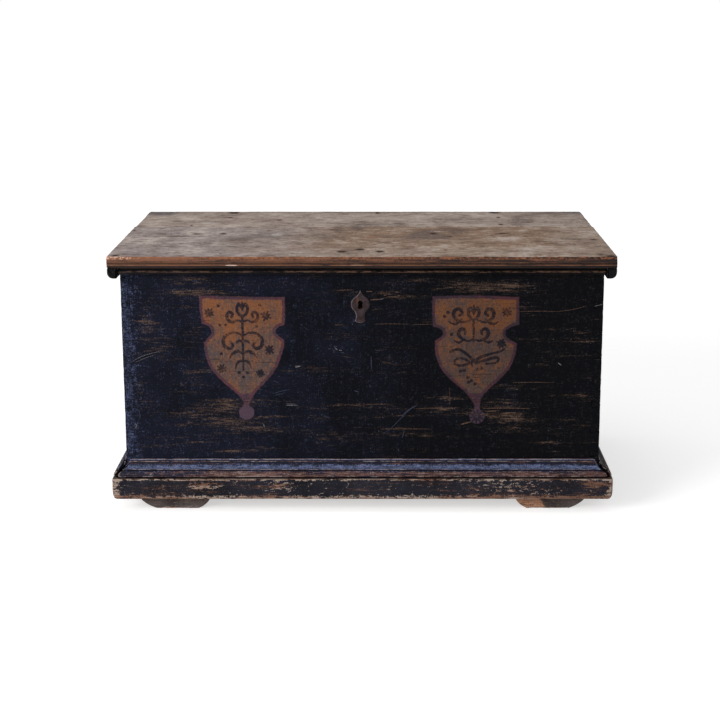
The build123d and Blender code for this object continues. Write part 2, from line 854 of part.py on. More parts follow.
def lock_spring():
    """A leaf spring on a lug, pressing on the bolt's upper edge."""
    start_x = bolt_ends()[0] + spring_lug
    low = bolt_z + bolt_height / 2 + bolt_clearance
    high = low + spring_rise
    end_x_low = start_x + spring_reach
    curl_x = end_x_low + spring_curl
    curl_z = low + spring_curl / 2
    points = [(start_x, high), (end_x_low, low + spring_thickness), (curl_x, curl_z),
              (curl_x, curl_z - spring_thickness), (end_x_low, low), (start_x, high - spring_thickness)]
    y_range = (bolt_y - bolt_thickness / 2, bolt_y + bolt_thickness / 2)
    leaf = run_y(outline(points[0], points[1:], in_xz), *y_range)
    lug = block((start_x - spring_lug, start_x), (lock_plate_y, y_range[1]),
                (high - spring_lug, high))
    return leaf + lug


def key_post():
    """The post that a hollow key turns on, riveted to the back of the case."""
    seat = lock_case_y - lock_case_wall
    foot = (lock_offset, seat, keyhole_z)
    post = rod(foot, OUT_FRONT, key_post_radius, seat - lock_plate_y + key_post_entry)
    flange = rod(foot, OUT_FRONT, key_post_flange_radius, key_post_flange_thickness)
    return post + flange


def lock_nails():
    out = (lock_plate_width + lock_case_width) / 4
    length = lock_plate_thickness + nail_grip
    margin = lock_nail_margin
    levels = spread(lock_top_z - lock_plate_height + margin, lock_top_z - margin, 3)
    return [nail((lock_offset + side * out, lock_plate_y, level), OUT_BACK, length)
            for side in (-1, 1) for level in levels]


def hasp():
    """A plate under the lid with an eye that drops into the lock."""
    half = hasp_plate_length / 2
    half_width = hasp_plate_width / 2
    middle_y = bolt_y + hasp_front_gap
    plate_low = rim_z - hasp_plate_thickness
    plate = block((lock_offset - half, lock_offset + half), (middle_y - half_width, middle_y + half_width),
                  (plate_low, rim_z))
    eye_half = bolt_height / 2 + hasp_eye_margin
    toe = bolt_z - eye_half - hasp_toe
    loop = block((lock_offset - hasp_thickness / 2, lock_offset + hasp_thickness / 2),
                 (bolt_y - hasp_width / 2, bolt_y + hasp_width / 2), (toe, plate_low))
    eye = block((lock_offset - hasp_thickness / 2, lock_offset + hasp_thickness / 2),
                (bolt_y - hasp_eye_width / 2, bolt_y + hasp_eye_width / 2),
                (bolt_z - eye_half, bolt_z + eye_half))
    return plate + loop - eye


def hasp_nails():
    length = hasp_plate_thickness + nail_grip
    out = hasp_plate_length / 2 - hasp_nail_margin
    middle_y = bolt_y + hasp_front_gap
    level = rim_z - hasp_plate_thickness
    return [nail((lock_offset + side * out, middle_y + shift, level), OUT_DOWN, length, head=hasp_nail_head)
            for side in (-1, 1) for shift in (-hasp_nail_spread / 2, hasp_nail_spread / 2)]


# Handles
def handle_bail(side):
    """A bent rod that hangs from two eyes, with upset ends outside them."""
    x = side * (end_x + handle_axis_out)
    half = handle_grip_width / 2
    knob_y = handle_eye_spacing / 2 + handle_eye_thickness / 2 + handle_knob_gap
    low = handle_z - handle_drop
    path = FilletPolyline((x, -knob_y, handle_z), (x, -half, handle_z), (x, -half, low),
                          (x, half, low), (x, half, handle_z), (x, knob_y, handle_z),
                          radius=[handle_turn_radius, handle_corner_radius, handle_corner_radius,
                                  handle_turn_radius])
    section = Plane(origin=(x, -knob_y, handle_z), z_dir=(0, 1, 0)) * Circle(handle_rod_radius)
    bail = sweep(section, path=path)
    bail += rod((x, -knob_y, handle_z), OUT_FRONT, handle_knob_radius, handle_knob_length)
    bail += rod((x, knob_y, handle_z), OUT_BACK, handle_knob_radius, handle_knob_length)
    return bail


def handle_staples(side):
    """Eyes whose shanks pass through the end board and are clinched inside."""
    x = side * (end_x + handle_axis_out)
    bore = handle_rod_radius + handle_eye_clearance
    clinch = sorted((side * inner_end_x, side * (inner_end_x - handle_clinch_thickness)))
    half = handle_shank / 2
    staples = []
    for middle in (-handle_eye_spacing / 2, handle_eye_spacing / 2):
        start = middle - handle_eye_thickness / 2
        ring = rod((x, start, handle_z), OUT_BACK, handle_eye_radius, handle_eye_thickness)
        shank_x = sorted((side * inner_end_x, x))
        shank = block(shank_x, (middle - half, middle + half), (handle_z - half, handle_z + half))
        bend = block(clinch, (middle - half, middle + half),
                     (handle_z - handle_clinch_length, handle_z + half))
        hole = rod((x, start, handle_z), OUT_BACK, bore, handle_eye_thickness)
        staples.append(ring + shank + bend - hole)
    return staples


def handle_plates(side):
    """Square plates between the end board and the eyes."""
    x_range = sorted((side * end_x, side * (end_x + handle_plate_thickness)))
    half = handle_plate_size / 2
    return [block(x_range, (middle - half, middle + half), (handle_z - half, handle_z + half))
            for middle in (-handle_eye_spacing / 2, handle_eye_spacing / 2)]


def build():
    """Every piece by name, as a list of solids."""
    pieces = {}
    till_side, till_bottom = till_pieces()
    pieces["till_side"] = [till_side]
    pieces["till_bottom"] = [till_bottom]

    pieces["plinth_nails"] = plinth_nails()
    brads, brad_holes = moulding_brads()
    pieces["moulding_brads"] = brads
    pieces["bottom_nails"] = bottom_nails()
    pieces["foot_pegs"] = foot_pegs()
    pieces["batten_nails"] = batten_nails()
    pieces["strip_nails"] = strip_nails()
    pieces["strap_nails"] = strap_nails()
    pieces["leaf_nails"] = leaf_nails()
    pieces["lock_nails"] = lock_nails()
    pieces["hasp_nails"] = hasp_nails()
    pieces["escutcheon_nails"] = escutcheon_nails()
    pieces["lid_dowels"] = lid_dowels()

    front = block((-end_x, end_x), (front_y, inner_front_y), (wall_z, rim_z))
    front -= all_dovetail_pins(front_y, inner_front_y)
    front -= [till_side, till_bottom]
    front -= keyhole(keyhole_wood_margin, front_y - cut_over, inner_front_y + cut_over)
    front -= brads + pieces["bottom_nails"] + pieces["lock_nails"] + pieces["escutcheon_nails"]
    pieces["front_board"] = [front]

    seam_z = back_seam_z()
    back_cuts = all_dovetail_pins(inner_back_y, back_y) + [till_side, till_bottom]
    back_cuts += hinge_gains() + pieces["bottom_nails"] + pieces["leaf_nails"]
    for name, z_range in (("back_board_lower", (wall_z, seam_z)), ("back_board_upper", (seam_z, rim_z))):
        pieces[name] = [block((-end_x, end_x), (inner_back_y, back_y), z_range) - back_cuts]

    for side, name in ((-1, "left"), (1, "right")):
        staples = handle_staples(side)
        pieces["handle_staples_" + name] = staples
        pieces["handle_plates_" + name] = [plate - staples for plate in handle_plates(side)]
        pieces["handle_bail_" + name] = [handle_bail(side)]
        cuts = brads + pieces["bottom_nails"] + staples + [till_bottom]
        pieces[name + "_end_board"] = [end_board(side) - cuts]
        pieces["plinth_board_" + name] = [side_run(plinth_board_profile, side, 0) - pieces["plinth_nails"]]
        pieces["plinth_moulding_" + name] = [side_run(moulding_profile, side, mitre_gap) - brads - brad_holes]
        pieces["lid_end_batten_" + name] = [lid_end_batten(side) - pieces["batten_nails"]]
        for row, start in foot_rows().items():
            pieces["foot_" + row + "_" + name] = [foot(side, start) - pieces["foot_pegs"]]
    pieces["plinth_board_front"] = [front_run(plinth_board_profile, 0) - pieces["plinth_nails"]]
    pieces["plinth_moulding_front"] = [front_run(moulding_profile, mitre_gap) - brads - brad_holes]

    cuts = pieces["bottom_nails"] + pieces["plinth_nails"] + pieces["foot_pegs"]
    for number, board in enumerate(bottom_boards(), start=1):
        pieces["bottom_board_%d" % number] = [board - cuts]

    lid_cuts = pieces["lid_dowels"] + pieces["batten_nails"] + pieces["strap_nails"]
    lid_cuts += pieces["hasp_nails"] + pieces["strip_nails"] + hinge_notches()
    pieces["lid_front_board"] = [run_x(lid_front_profile(), -lid_end_x, lid_end_x) - lid_cuts]
    pieces["lid_back_board"] = [run_x(lid_back_profile(), -lid_end_x, lid_end_x) - lid_cuts]
    pieces["lid_front_strip"] = [lid_strip() - pieces["strip_nails"]]

    for x, name in zip(hinge_xs, ("left", "right")):
        pieces["hinge_strap_" + name] = [hinge_strap(x) - pieces["strap_nails"]]
        pieces["hinge_leaf_" + name] = [hinge_leaf(x) - pieces["leaf_nails"]]
        pieces["hinge_pin_" + name] = [hinge_pin(x)]

    pieces["escutcheon"] = [escutcheon() - pieces["escutcheon_nails"]]
    pieces["lock_plate"] = [lock_plate() - pieces["lock_nails"]]
    pieces["lock_case"] = [lock_case()]
    pieces["lock_bolt"] = [lock_bolt()]
    pieces["lock_bolt_guides"] = bolt_guides()
    pieces["lock_spring"] = [lock_spring()]
    pieces["lock_key_post"] = [key_post()]
    pieces["lid_hasp"] = [hasp() - pieces["hasp_nails"]]
    return pieces


os.makedirs("parts", exist_ok=True)
for name, shapes in build().items():
    solids = [solid for shape in shapes for solid in shape.solids()]
    whole = solids[0] if len(solids) == 1 else Compound(solids)
    export_step(whole, os.path.join("parts", name + ".step"))
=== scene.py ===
import json
import math
import bmesh
import bpy
import numpy as np
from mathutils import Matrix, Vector, bvhtree, geometry, kdtree


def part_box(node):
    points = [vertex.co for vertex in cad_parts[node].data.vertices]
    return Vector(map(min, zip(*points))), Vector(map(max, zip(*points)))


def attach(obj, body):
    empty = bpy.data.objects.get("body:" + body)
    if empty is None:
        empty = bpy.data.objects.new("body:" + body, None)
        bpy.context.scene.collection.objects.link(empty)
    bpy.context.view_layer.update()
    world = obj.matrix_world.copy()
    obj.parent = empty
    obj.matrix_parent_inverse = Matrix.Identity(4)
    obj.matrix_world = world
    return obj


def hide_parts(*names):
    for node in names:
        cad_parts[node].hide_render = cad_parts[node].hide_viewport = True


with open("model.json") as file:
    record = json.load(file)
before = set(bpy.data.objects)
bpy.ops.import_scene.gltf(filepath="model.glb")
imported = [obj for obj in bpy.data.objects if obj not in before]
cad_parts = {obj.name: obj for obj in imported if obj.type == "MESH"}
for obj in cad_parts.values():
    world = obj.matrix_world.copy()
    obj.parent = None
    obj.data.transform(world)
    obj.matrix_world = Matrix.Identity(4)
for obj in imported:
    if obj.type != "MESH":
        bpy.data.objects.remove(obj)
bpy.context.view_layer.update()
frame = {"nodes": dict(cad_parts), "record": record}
scene = bpy.context.scene
nodes = frame["nodes"]

BODY_OF = {}
for body_name, members in frame["record"]["behaviour"]["bodies"].items():
    for member in members:
        BODY_OF[member] = body_name


# Smooth noise over points, the same on each run
def lattice(i, j, k, seed):
    h = (i * 73856093) ^ (j * 19349663) ^ (k * 83492791) ^ (seed * 2654435761)
    h = (h ^ (h >> 13)) * 1274126177
    h = h & 0xFFFFFFFF
    h = (h ^ (h >> 15)) * 668265263
    return ((h >> 7) & 0xFFFF) / 65535.0


def noise(points, cell, seed=0, octaves=1):
    """Values from 0 to 1 over N x 3 points, with one cell size per direction."""
    q = points / np.array(cell, float)
    total, weight, share = 0.0, 0.0, 1.0
    for octave in range(octaves):
        low = np.floor(q).astype(np.int64)
        t = q - low
        t = t * t * (3 - 2 * t)
        value = 0.0
        for corner in range(8):
            step = (corner & 1, corner >> 1 & 1, corner >> 2)
            part = 1.0
            for axis in range(3):
                part = part * (t[:, axis] if step[axis] else 1 - t[:, axis])
            value = value + part * lattice(low[:, 0] + step[0], low[:, 1] + step[1],
                                           low[:, 2] + step[2], seed + octave * 31)
        total = total + value * share
        weight += share
        share *= 0.5
        q = q * 2.03 + 11.7
    return total / weight


def smooth(low, high, value):
    t = np.clip((value - low) / (high - low), 0, 1)
    return t * t * (3 - 2 * t)


# Meshes
def put(name, mesh, material, body, replaced=()):
    piece = bpy.data.objects.new(name, mesh)
    scene.collection.objects.link(piece)
    mesh.materials.clear()
    mesh.materials.append(material)
    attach(piece, body)
    if replaced:
        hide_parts(*replaced)
    return piece


def set_values(mesh, values):
    for key, value in values.items():
        layer = mesh.attributes.get(key) or mesh.attributes.new(key, "FLOAT", "POINT")
        layer.data.foreach_set("value", np.broadcast_to(value, len(mesh.vertices)).astype(np.float32))


def get_values(mesh, key):
    flat = np.zeros(len(mesh.vertices), np.float32)
    if key in mesh.attributes:
        mesh.attributes[key].data.foreach_get("value", flat)
    return flat


def rows_of(items, key):
    flat = np.zeros(len(items) * 3)
    items.foreach_get(key, flat)
    return flat.reshape(-1, 3)


def positions(mesh):
    return rows_of(mesh.vertices, "co")


def normals(mesh):
    return rows_of(mesh.vertex_normals, "vector")


def move_to(mesh, points):
    mesh.vertices.foreach_set("co", points.astype(np.float32).ravel())
    mesh.update()


def closed_mesh(name, points, faces):
    """A mesh with its large faces cut into triangles and all its faces turned outward."""
    mesh = bpy.data.meshes.new(name)
    mesh.from_pydata(points, [], faces)
    bm = bmesh.new()
    bm.from_mesh(mesh)
    bmesh.ops.triangulate(bm, faces=[f for f in bm.faces if len(f.verts) > 4], ngon_method="EAR_CLIP")
    bmesh.ops.recalc_face_normals(bm, faces=bm.faces)
    bm.to_mesh(mesh)
    bm.free()
    return mesh


def soften(mesh, angle=42):
    mesh.shade_smooth()
    mesh.set_sharp_from_angle(angle=math.radians(angle))


def clean_copy(node):
    bm = bmesh.new()
    bm.from_mesh(node.data)
    bmesh.ops.remove_doubles(bm, verts=bm.verts, dist=2e-6)
    return bm


def section(node, axis, at):
    """The outline of a CAD node cut across an axis, as ordered points of the two other axes."""
    bm = clean_copy(node)
    across = Vector((0, 0, 0))
    across[axis] = 1
    cut = bmesh.ops.bisect_plane(bm, geom=bm.verts[:] + bm.edges[:] + bm.faces[:], dist=1e-7,
                                 plane_co=across * at, plane_no=across)["geom_cut"]
    edges = {e for e in cut if isinstance(e, bmesh.types.BMEdge)}
    here = min(edges, key=lambda e: e.index)
    start, vert = here.verts
    loop = [start]
    edges.discard(here)
    while vert is not start:
        loop.append(vert)
        here = next(e for e in vert.link_edges if e in edges)
        edges.discard(here)
        vert = here.other_vert(vert)
    others = [a for a in range(3) if a != axis]
    points = np.array([[v.co[others[0]], v.co[others[1]]] for v in loop])
    bm.free()
    keep = []
    for i in range(len(points)):
        a = points[i] - points[i - 1]
        b = points[(i + 1) % len(points)] - points[i]
        turn = a[0] * b[1] - a[1] * b[0]
        if abs(turn) > 1e-3 * np.linalg.norm(a) * np.linalg.norm(b):
            keep.append(i)
    points = points[keep]
    area = np.sum(points[:, 0] * np.roll(points[:, 1], -1) - points[:, 1] * np.roll(points[:, 0], -1))
    return points if area > 0 else points[::-1]


def graded(length, fine, coarse):
    """Places along a run from 0 to length, fine at both ends and coarser in the middle."""
    ends, step, here = [0.0], fine, 0.0
    while here + step < length / 2:
        here += step
        ends.append(here)
        step = min(step * 1.3, coarse)
    gap = length - 2 * here
    count = max(1, math.ceil(gap / max(coarse, fine))) if gap > fine * 0.5 else 1
    middle = [here + gap * i / count for i in range(1, count)]
    return np.array(ends + middle + [length - p for p in reversed(ends)])


def resample(points, fine, coarse):
    made = []
    for i, a in enumerate(points):
        b = points[(i + 1) % len(points)]
        length = np.linalg.norm(b - a)
        if length < fine * 1.6:
            made.append(a)
            continue
        for place in graded(length, fine, coarse)[:-1]:
            made.append(a + (b - a) * place / length)
    return np.array(made)


def bend_of(points, reach):
    """At each point the step towards the chord across it, how convex it is, and its outward normal."""
    closed = np.vstack([points, points[:1]])
    run = np.concatenate([[0], np.cumsum(np.linalg.norm(np.diff(closed, axis=0), axis=1))])
    total = run[-1]

    def at(s):
        return np.column_stack([np.interp(s % total, run, closed[:, a]) for a in (0, 1)])

    s = run[:-1]
    step = (at(s - reach) + at(s + reach)) / 2 - points
    along = at(s + 0.4 * reach) - at(s - 0.4 * reach)
    out = np.column_stack([along[:, 1], -along[:, 0]])
    out /= np.maximum(np.linalg.norm(out, axis=1, keepdims=True), 1e-9)
    convex = -np.sum(step * out, axis=1) / reach
    return step, convex, out


def sweep(node_name, axis, at, low, high, step=0.004, fine=0.0012, coarse=0.006, reach=0.003,
          rub=(0.25, 0.6), seed=1, swell=0.0004, end_round=0.002, end_painted_shade=0.0, end_wear=1.0):
    """A worn run of a CAD node's own section. low and high give, for section points, where the run ends."""
    points = resample(section(nodes[node_name], axis, at), fine, coarse)
    toward, convex, out = bend_of(points, reach)
    first, last = low(points), high(points)
    length = float(np.max(last) - np.min(first))
    places = graded(length, 0.0008, step) / length
    rows, count = len(places), len(points)
    t = places[:, None]
    along = first[None, :] * (1 - t) + last[None, :] * t
    others = [a for a in range(3) if a != axis]
    grid = np.zeros((rows, count, 3))
    grid[:, :, axis] = along
    grid[:, :, others[0]] = points[None, :, 0]
    grid[:, :, others[1]] = points[None, :, 1]
    flat = grid.reshape(-1, 3)

    def uneven(across, along, seed):
        cell = [across] * 3
        cell[axis] = along
        return noise(flat, cell, seed, 2)

    slow, quick, wave = uneven(0.05, 0.09, seed), uneven(0.012, 0.011, seed + 7), uneven(0.03, 0.16, seed + 3)
    amount = rub[0] + rub[1] * smooth(0.35, 0.8, 0.55 * slow + 0.45 * quick)
    amount += 0.5 * smooth(0.68, 0.78, quick) * smooth(0.45, 0.6, slow)
    amount = np.where(np.tile(convex, rows) > 0, np.minimum(amount, 1.15), 0.0)
    off = np.tile(toward, (rows, 1)) * amount[:, None]
    from_end = np.minimum(places, 1 - places) * length
    near = np.repeat(np.clip(1 - from_end / (end_round * 1.6), 0, 1) ** 2, count)
    inset = near * end_round * (0.35 + 0.9 * quick)
    off -= np.tile(out, (rows, 1)) * inset[:, None]
    off -= np.tile(out, (rows, 1)) * (swell * wave)[:, None]
    flat[:, others[0]] += off[:, 0]
    flat[:, others[1]] += off[:, 1]
    caps = []
    for ring, ends in ((flat[:count], low), (flat[-count:], high)):
        inner = ring[:, others] - out * 0.0005
        cap = ring.copy()
        cap[:, others] = inner
        cap[:, axis] += ends(inner) - ends(ring[:, others])
        caps.append(cap)
    flat = np.vstack([caps[0], flat, caps[1]])
    faces = []
    for r in range(rows + 1):
        base = r * count
        for c in range(count):
            n = (c + 1) % count
            faces.append((base + c, base + n, base + count + n, base + count + c))
    faces.append(tuple(range(count))[::-1])
    faces.append(tuple((rows + 1) * count + c for c in range(count)))
    mesh = closed_mesh(node_name + "_worn", flat.tolist(), faces)
    arris = np.maximum(np.tile(np.clip(convex / 0.42, 0, 1), rows),
                       np.repeat(np.clip(1 - from_end / 0.005, 0, 1), count) * end_wear)
    none = np.zeros(count)
    # Concave parts are marked to be darkened, as dirt and painted shade; the end caps as far as asked, as
    # painted shade in a gap
    hollow_dirt_and_shade = np.tile(np.clip(-convex / 0.3, 0, 1), rows)
    set_values(mesh, {"arris": np.concatenate([none, arris, none]),
                      "hollow_dirt_and_shade": np.concatenate([none + end_painted_shade, hollow_dirt_and_shade, none + end_painted_shade])})
    soften(mesh, 50)
    return mesh


def board(node_name, steps, bevel=0.0006, extra=((), (), ()), swell=0.0004, seed=1, chip=0.0):
    """A CAD node's own shape with soft arrises, cut into a grid and gently uneven."""
    bm = clean_copy(nodes[node_name])
    bmesh.ops.dissolve_limit(bm, angle_limit=math.radians(0.6), verts=bm.verts, edges=bm.edges)
    sharp = [e for e in bm.edges if e.is_manifold and e.calc_length() > 0.004
             and e.calc_face_angle(0) > 0.5]
    convex = [e for e in sharp if e.is_convex and e.calc_length() > 0.012]
    spots = []
    for e in convex:
        a, b = np.array(e.verts[0].co), np.array(e.verts[1].co)
        count = max(2, int(np.linalg.norm(b - a) / 0.002))
        spots += [a + (b - a) * i / (count - 1) for i in range(count)]
    if bevel:
        bmesh.ops.bevel(bm, geom=sharp, offset=bevel, segments=2, profile=0.55, affect="EDGES",
                        clamp_overlap=False)
    corners = np.array([v.co for v in bm.verts])
    for axis in (2, 1, 0):
        low, high = corners[:, axis].min(), corners[:, axis].max()
        places = list(extra[axis])
        if steps[axis]:
            count = max(1, round((high - low) / steps[axis]))
            places += [low + (high - low) * i / count for i in range(1, count)]
        no = Vector((0, 0, 0))
        no[axis] = 1
        for place in sorted(places):
            bmesh.ops.bisect_plane(bm, geom=bm.verts[:] + bm.edges[:] + bm.faces[:], dist=1e-5,
                                   plane_co=no * place, plane_no=no)
    bmesh.ops.triangulate(bm, faces=[f for f in bm.faces if len(f.verts) > 4], ngon_method="EAR_CLIP")
    mesh = bpy.data.meshes.new(node_name + "_worn")
    bm.to_mesh(mesh)
    bm.free()
    tree = kdtree.KDTree(len(spots))
    for i, spot in enumerate(spots):
        tree.insert(spot, i)
    tree.balance()
    points = positions(mesh)
    away = np.array([tree.find(p)[2] for p in points])
    facing = normals(mesh)
    wave = noise(points, (0.13, 0.05, 0.05), seed, 2)
    quick = noise(points, (0.016, 0.014, 0.014), seed + 5, 2)
    depth = swell * wave + chip * smooth(0.0045, 0.0, away) * (0.25 + smooth(0.5, 0.8, quick))
    low, high = (np.array(corner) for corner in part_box(node_name))
    move_to(mesh, np.clip(points - facing * depth[:, None], low, high))
    set_values(mesh, {"arris": smooth(0.006, 0.0008, away), "hollow_dirt_and_shade": 0.0})
    soften(mesh)
    return mesh


def forged(node_name, voxel, rough=0.00018, cell=0.009, seed=3):
    """A CAD node remeshed finely, with soft worn edges and a hammered face."""
    mesh = nodes[node_name].data.copy()
    holder = bpy.data.objects.new("remesh_tool", mesh)
    scene.collection.objects.link(holder)
    remesh = holder.modifiers.new("even", "REMESH")
    remesh.mode = "VOXEL"
    remesh.voxel_size = voxel
    remesh.adaptivity = 0.0
    blur = holder.modifiers.new("blur", "SMOOTH")
    blur.factor = 0.5
    blur.iterations = 3
    shaped = bpy.data.meshes.new_from_object(holder.evaluated_get(bpy.context.evaluated_depsgraph_get()))
    bpy.data.objects.remove(holder)
    shaped.name = node_name + "_forged"
    points = positions(shaped)
    low, high = (np.array(corner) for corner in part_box(node_name))
    dent = noise(points, (cell, cell, cell), seed, 2)
    pits = smooth(0.62, 0.8, noise(points, (cell / 4, cell / 4, cell / 4), seed + 9, 2))
    facing = normals(shaped)
    points = points - facing * (rough * dent + rough * 0.9 * pits)[:, None]
    move_to(shaped, np.clip(points, low, high))
    soften(shaped, 60)
    return shaped


# The faces of the carcass, read from the CAD nodes
lowest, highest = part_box("front_board")
END_X, FRONT_Y, RIM_Z = highest.x, lowest.y, highest.z
BACK_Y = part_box("back_board_lower")[1].y
lowest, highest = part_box("lid_front_board")
LID_X, LID_FRONT_Y, LID_JOINT_Y, TOP_Z = highest.x, lowest.y, highest.y, highest.z
LID_BACK_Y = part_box("lid_back_board")[1].y
PLINTH_BACK_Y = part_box("plinth_board_left")[1].y
MOULDING_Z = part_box("plinth_moulding_front")[0].z
STEP_Z = MOULDING_Z + 0.017
COVE_TOP_Z = MOULDING_Z + 0.036
PAINT_DEPTH = 0.0018


# Materials, with the grain along the length or the depth of the chest
ALONG_X = (0, 0, 0)
ALONG_Y = (0, 0, math.pi / 2)


def srgb(*values):
    made = []
    for value in values:
        c = value / 255
        made.append(c / 12.92 if c <= 0.04045 else ((c + 0.055) / 1.055) ** 2.4)
    return (*made, 1.0)


def wire(tree, kind, inputs=None, **settings):
    """A new node, its inputs set to values or linked to sockets."""
    made = tree.nodes.new(kind)
    for key, value in settings.items():
        setattr(made, key, value)
    for key, value in (inputs or {}).items():
        if isinstance(value, bpy.types.NodeSocket):
            tree.links.new(value, made.inputs[key])
        else:
            made.inputs[key].default_value = value
    return made


class Shade:
    """A material's nodes, wired one after the other."""

    def __init__(self, name):
        self.material = bpy.data.materials.new(name)
        self.material.use_nodes = True
        self.tree = self.material.node_tree
        self.place = self.add("ShaderNodeTexCoord").outputs["Object"]

    def add(self, kind, inputs=None, **settings):
        return wire(self.tree, kind, inputs, **settings)

    def attr(self, name):
        return self.add("ShaderNodeAttribute", attribute_name=name).outputs["Fac"]

    def scaled(self, scale, turn=ALONG_X, shift=(0, 0, 0)):
        return self.add("ShaderNodeMapping", {"Vector": self.place, "Scale": scale, "Rotation": turn,
                                              "Location": shift}).outputs["Vector"]

    def noise(self, vector, scale, detail, rough):
        return self.add("ShaderNodeTexNoise", {"Vector": vector, "Scale": scale, "Detail": detail,
                                               "Roughness": rough}).outputs["Fac"]

    def field(self, scale, detail, rough, shift=(0, 0, 0)):
        """A noise moved to lie about 0, mostly from -1 to 1. Its scale is one number or one per axis."""
        if isinstance(scale, tuple):
            value = self.noise(self.scaled(scale, shift=shift), 1.0, detail, rough)
        else:
            value = self.noise(self.place, scale, detail, rough)
        return self.math("MULTIPLY", self.math("SUBTRACT", value, 0.5), 4.0)

    def cells(self, scale):
        return self.add("ShaderNodeTexVoronoi", {"Vector": self.place, "Scale": scale}).outputs["Distance"]

    def math(self, kind, a, b=0.0):
        return self.add("ShaderNodeMath", {0: a, 1: b}, operation=kind).outputs[0]

    def plus(self, *terms):
        """A sum of terms, each a socket, a number or a pair of a socket and its weight."""
        total = None
        for term in terms:
            value = self.math("MULTIPLY", *term) if isinstance(term, tuple) else term
            total = value if total is None else self.math("ADD", total, value)
        return total

    def times(self, *terms):
        total = terms[0]
        for term in terms[1:]:
            total = self.math("MULTIPLY", total, term)
        return total

    def step(self, value, low, high, to_low=0.0, to_high=1.0):
        return self.add("ShaderNodeMapRange", {"Value": value, "From Min": low, "From Max": high,
                                               "To Min": to_low, "To Max": to_high},
                        interpolation_type="SMOOTHSTEP").outputs["Result"]

    def near(self, value, middle, width):
        """1 where a value lies close to the middle, else 0: thin lines along a noise's contour."""
        return self.step(self.math("ABSOLUTE", self.math("SUBTRACT", value, middle)), 0.0, width, 1.0, 0.0)

    def mix(self, share, *ends):
        """Two colours mixed, each a socket or three sRGB values from 0 to 255."""
        a, b = (end if isinstance(end, bpy.types.NodeSocket) else srgb(*end) for end in ends)
        return self.add("ShaderNodeMix", {0: share, 6: a, 7: b}, data_type="RGBA").outputs[2]

    def lay(self, under, colour, amount, low, high, *terms):
        """A colour laid over another where the sum of the terms goes from low to high."""
        share = self.step(self.plus(*terms), low, high)
        return self.mix(share if amount == 1 else self.times(share, amount), under, colour)

    def split(self):
        return self.add("ShaderNodeSeparateXYZ", {0: self.place}).outputs

    def finish(self, colour, rough, height, depth, metal=0.0, strength=0.6, gloss=0.3):
        bump = self.add("ShaderNodeBump", {"Strength": strength, "Distance": depth, "Height": height})
        surface = self.tree.nodes["Principled BSDF"]
        surface.inputs["Metallic"].default_value = metal
        surface.inputs["Specular IOR Level"].default_value = gloss
        for key, socket in (("Base Color", colour), ("Roughness", rough), ("Normal", bump.outputs[0])):
            if isinstance(socket, bpy.types.NodeSocket):
                self.tree.links.new(socket, surface.inputs[key])
            else:
                surface.inputs[key].default_value = socket
        return self.material


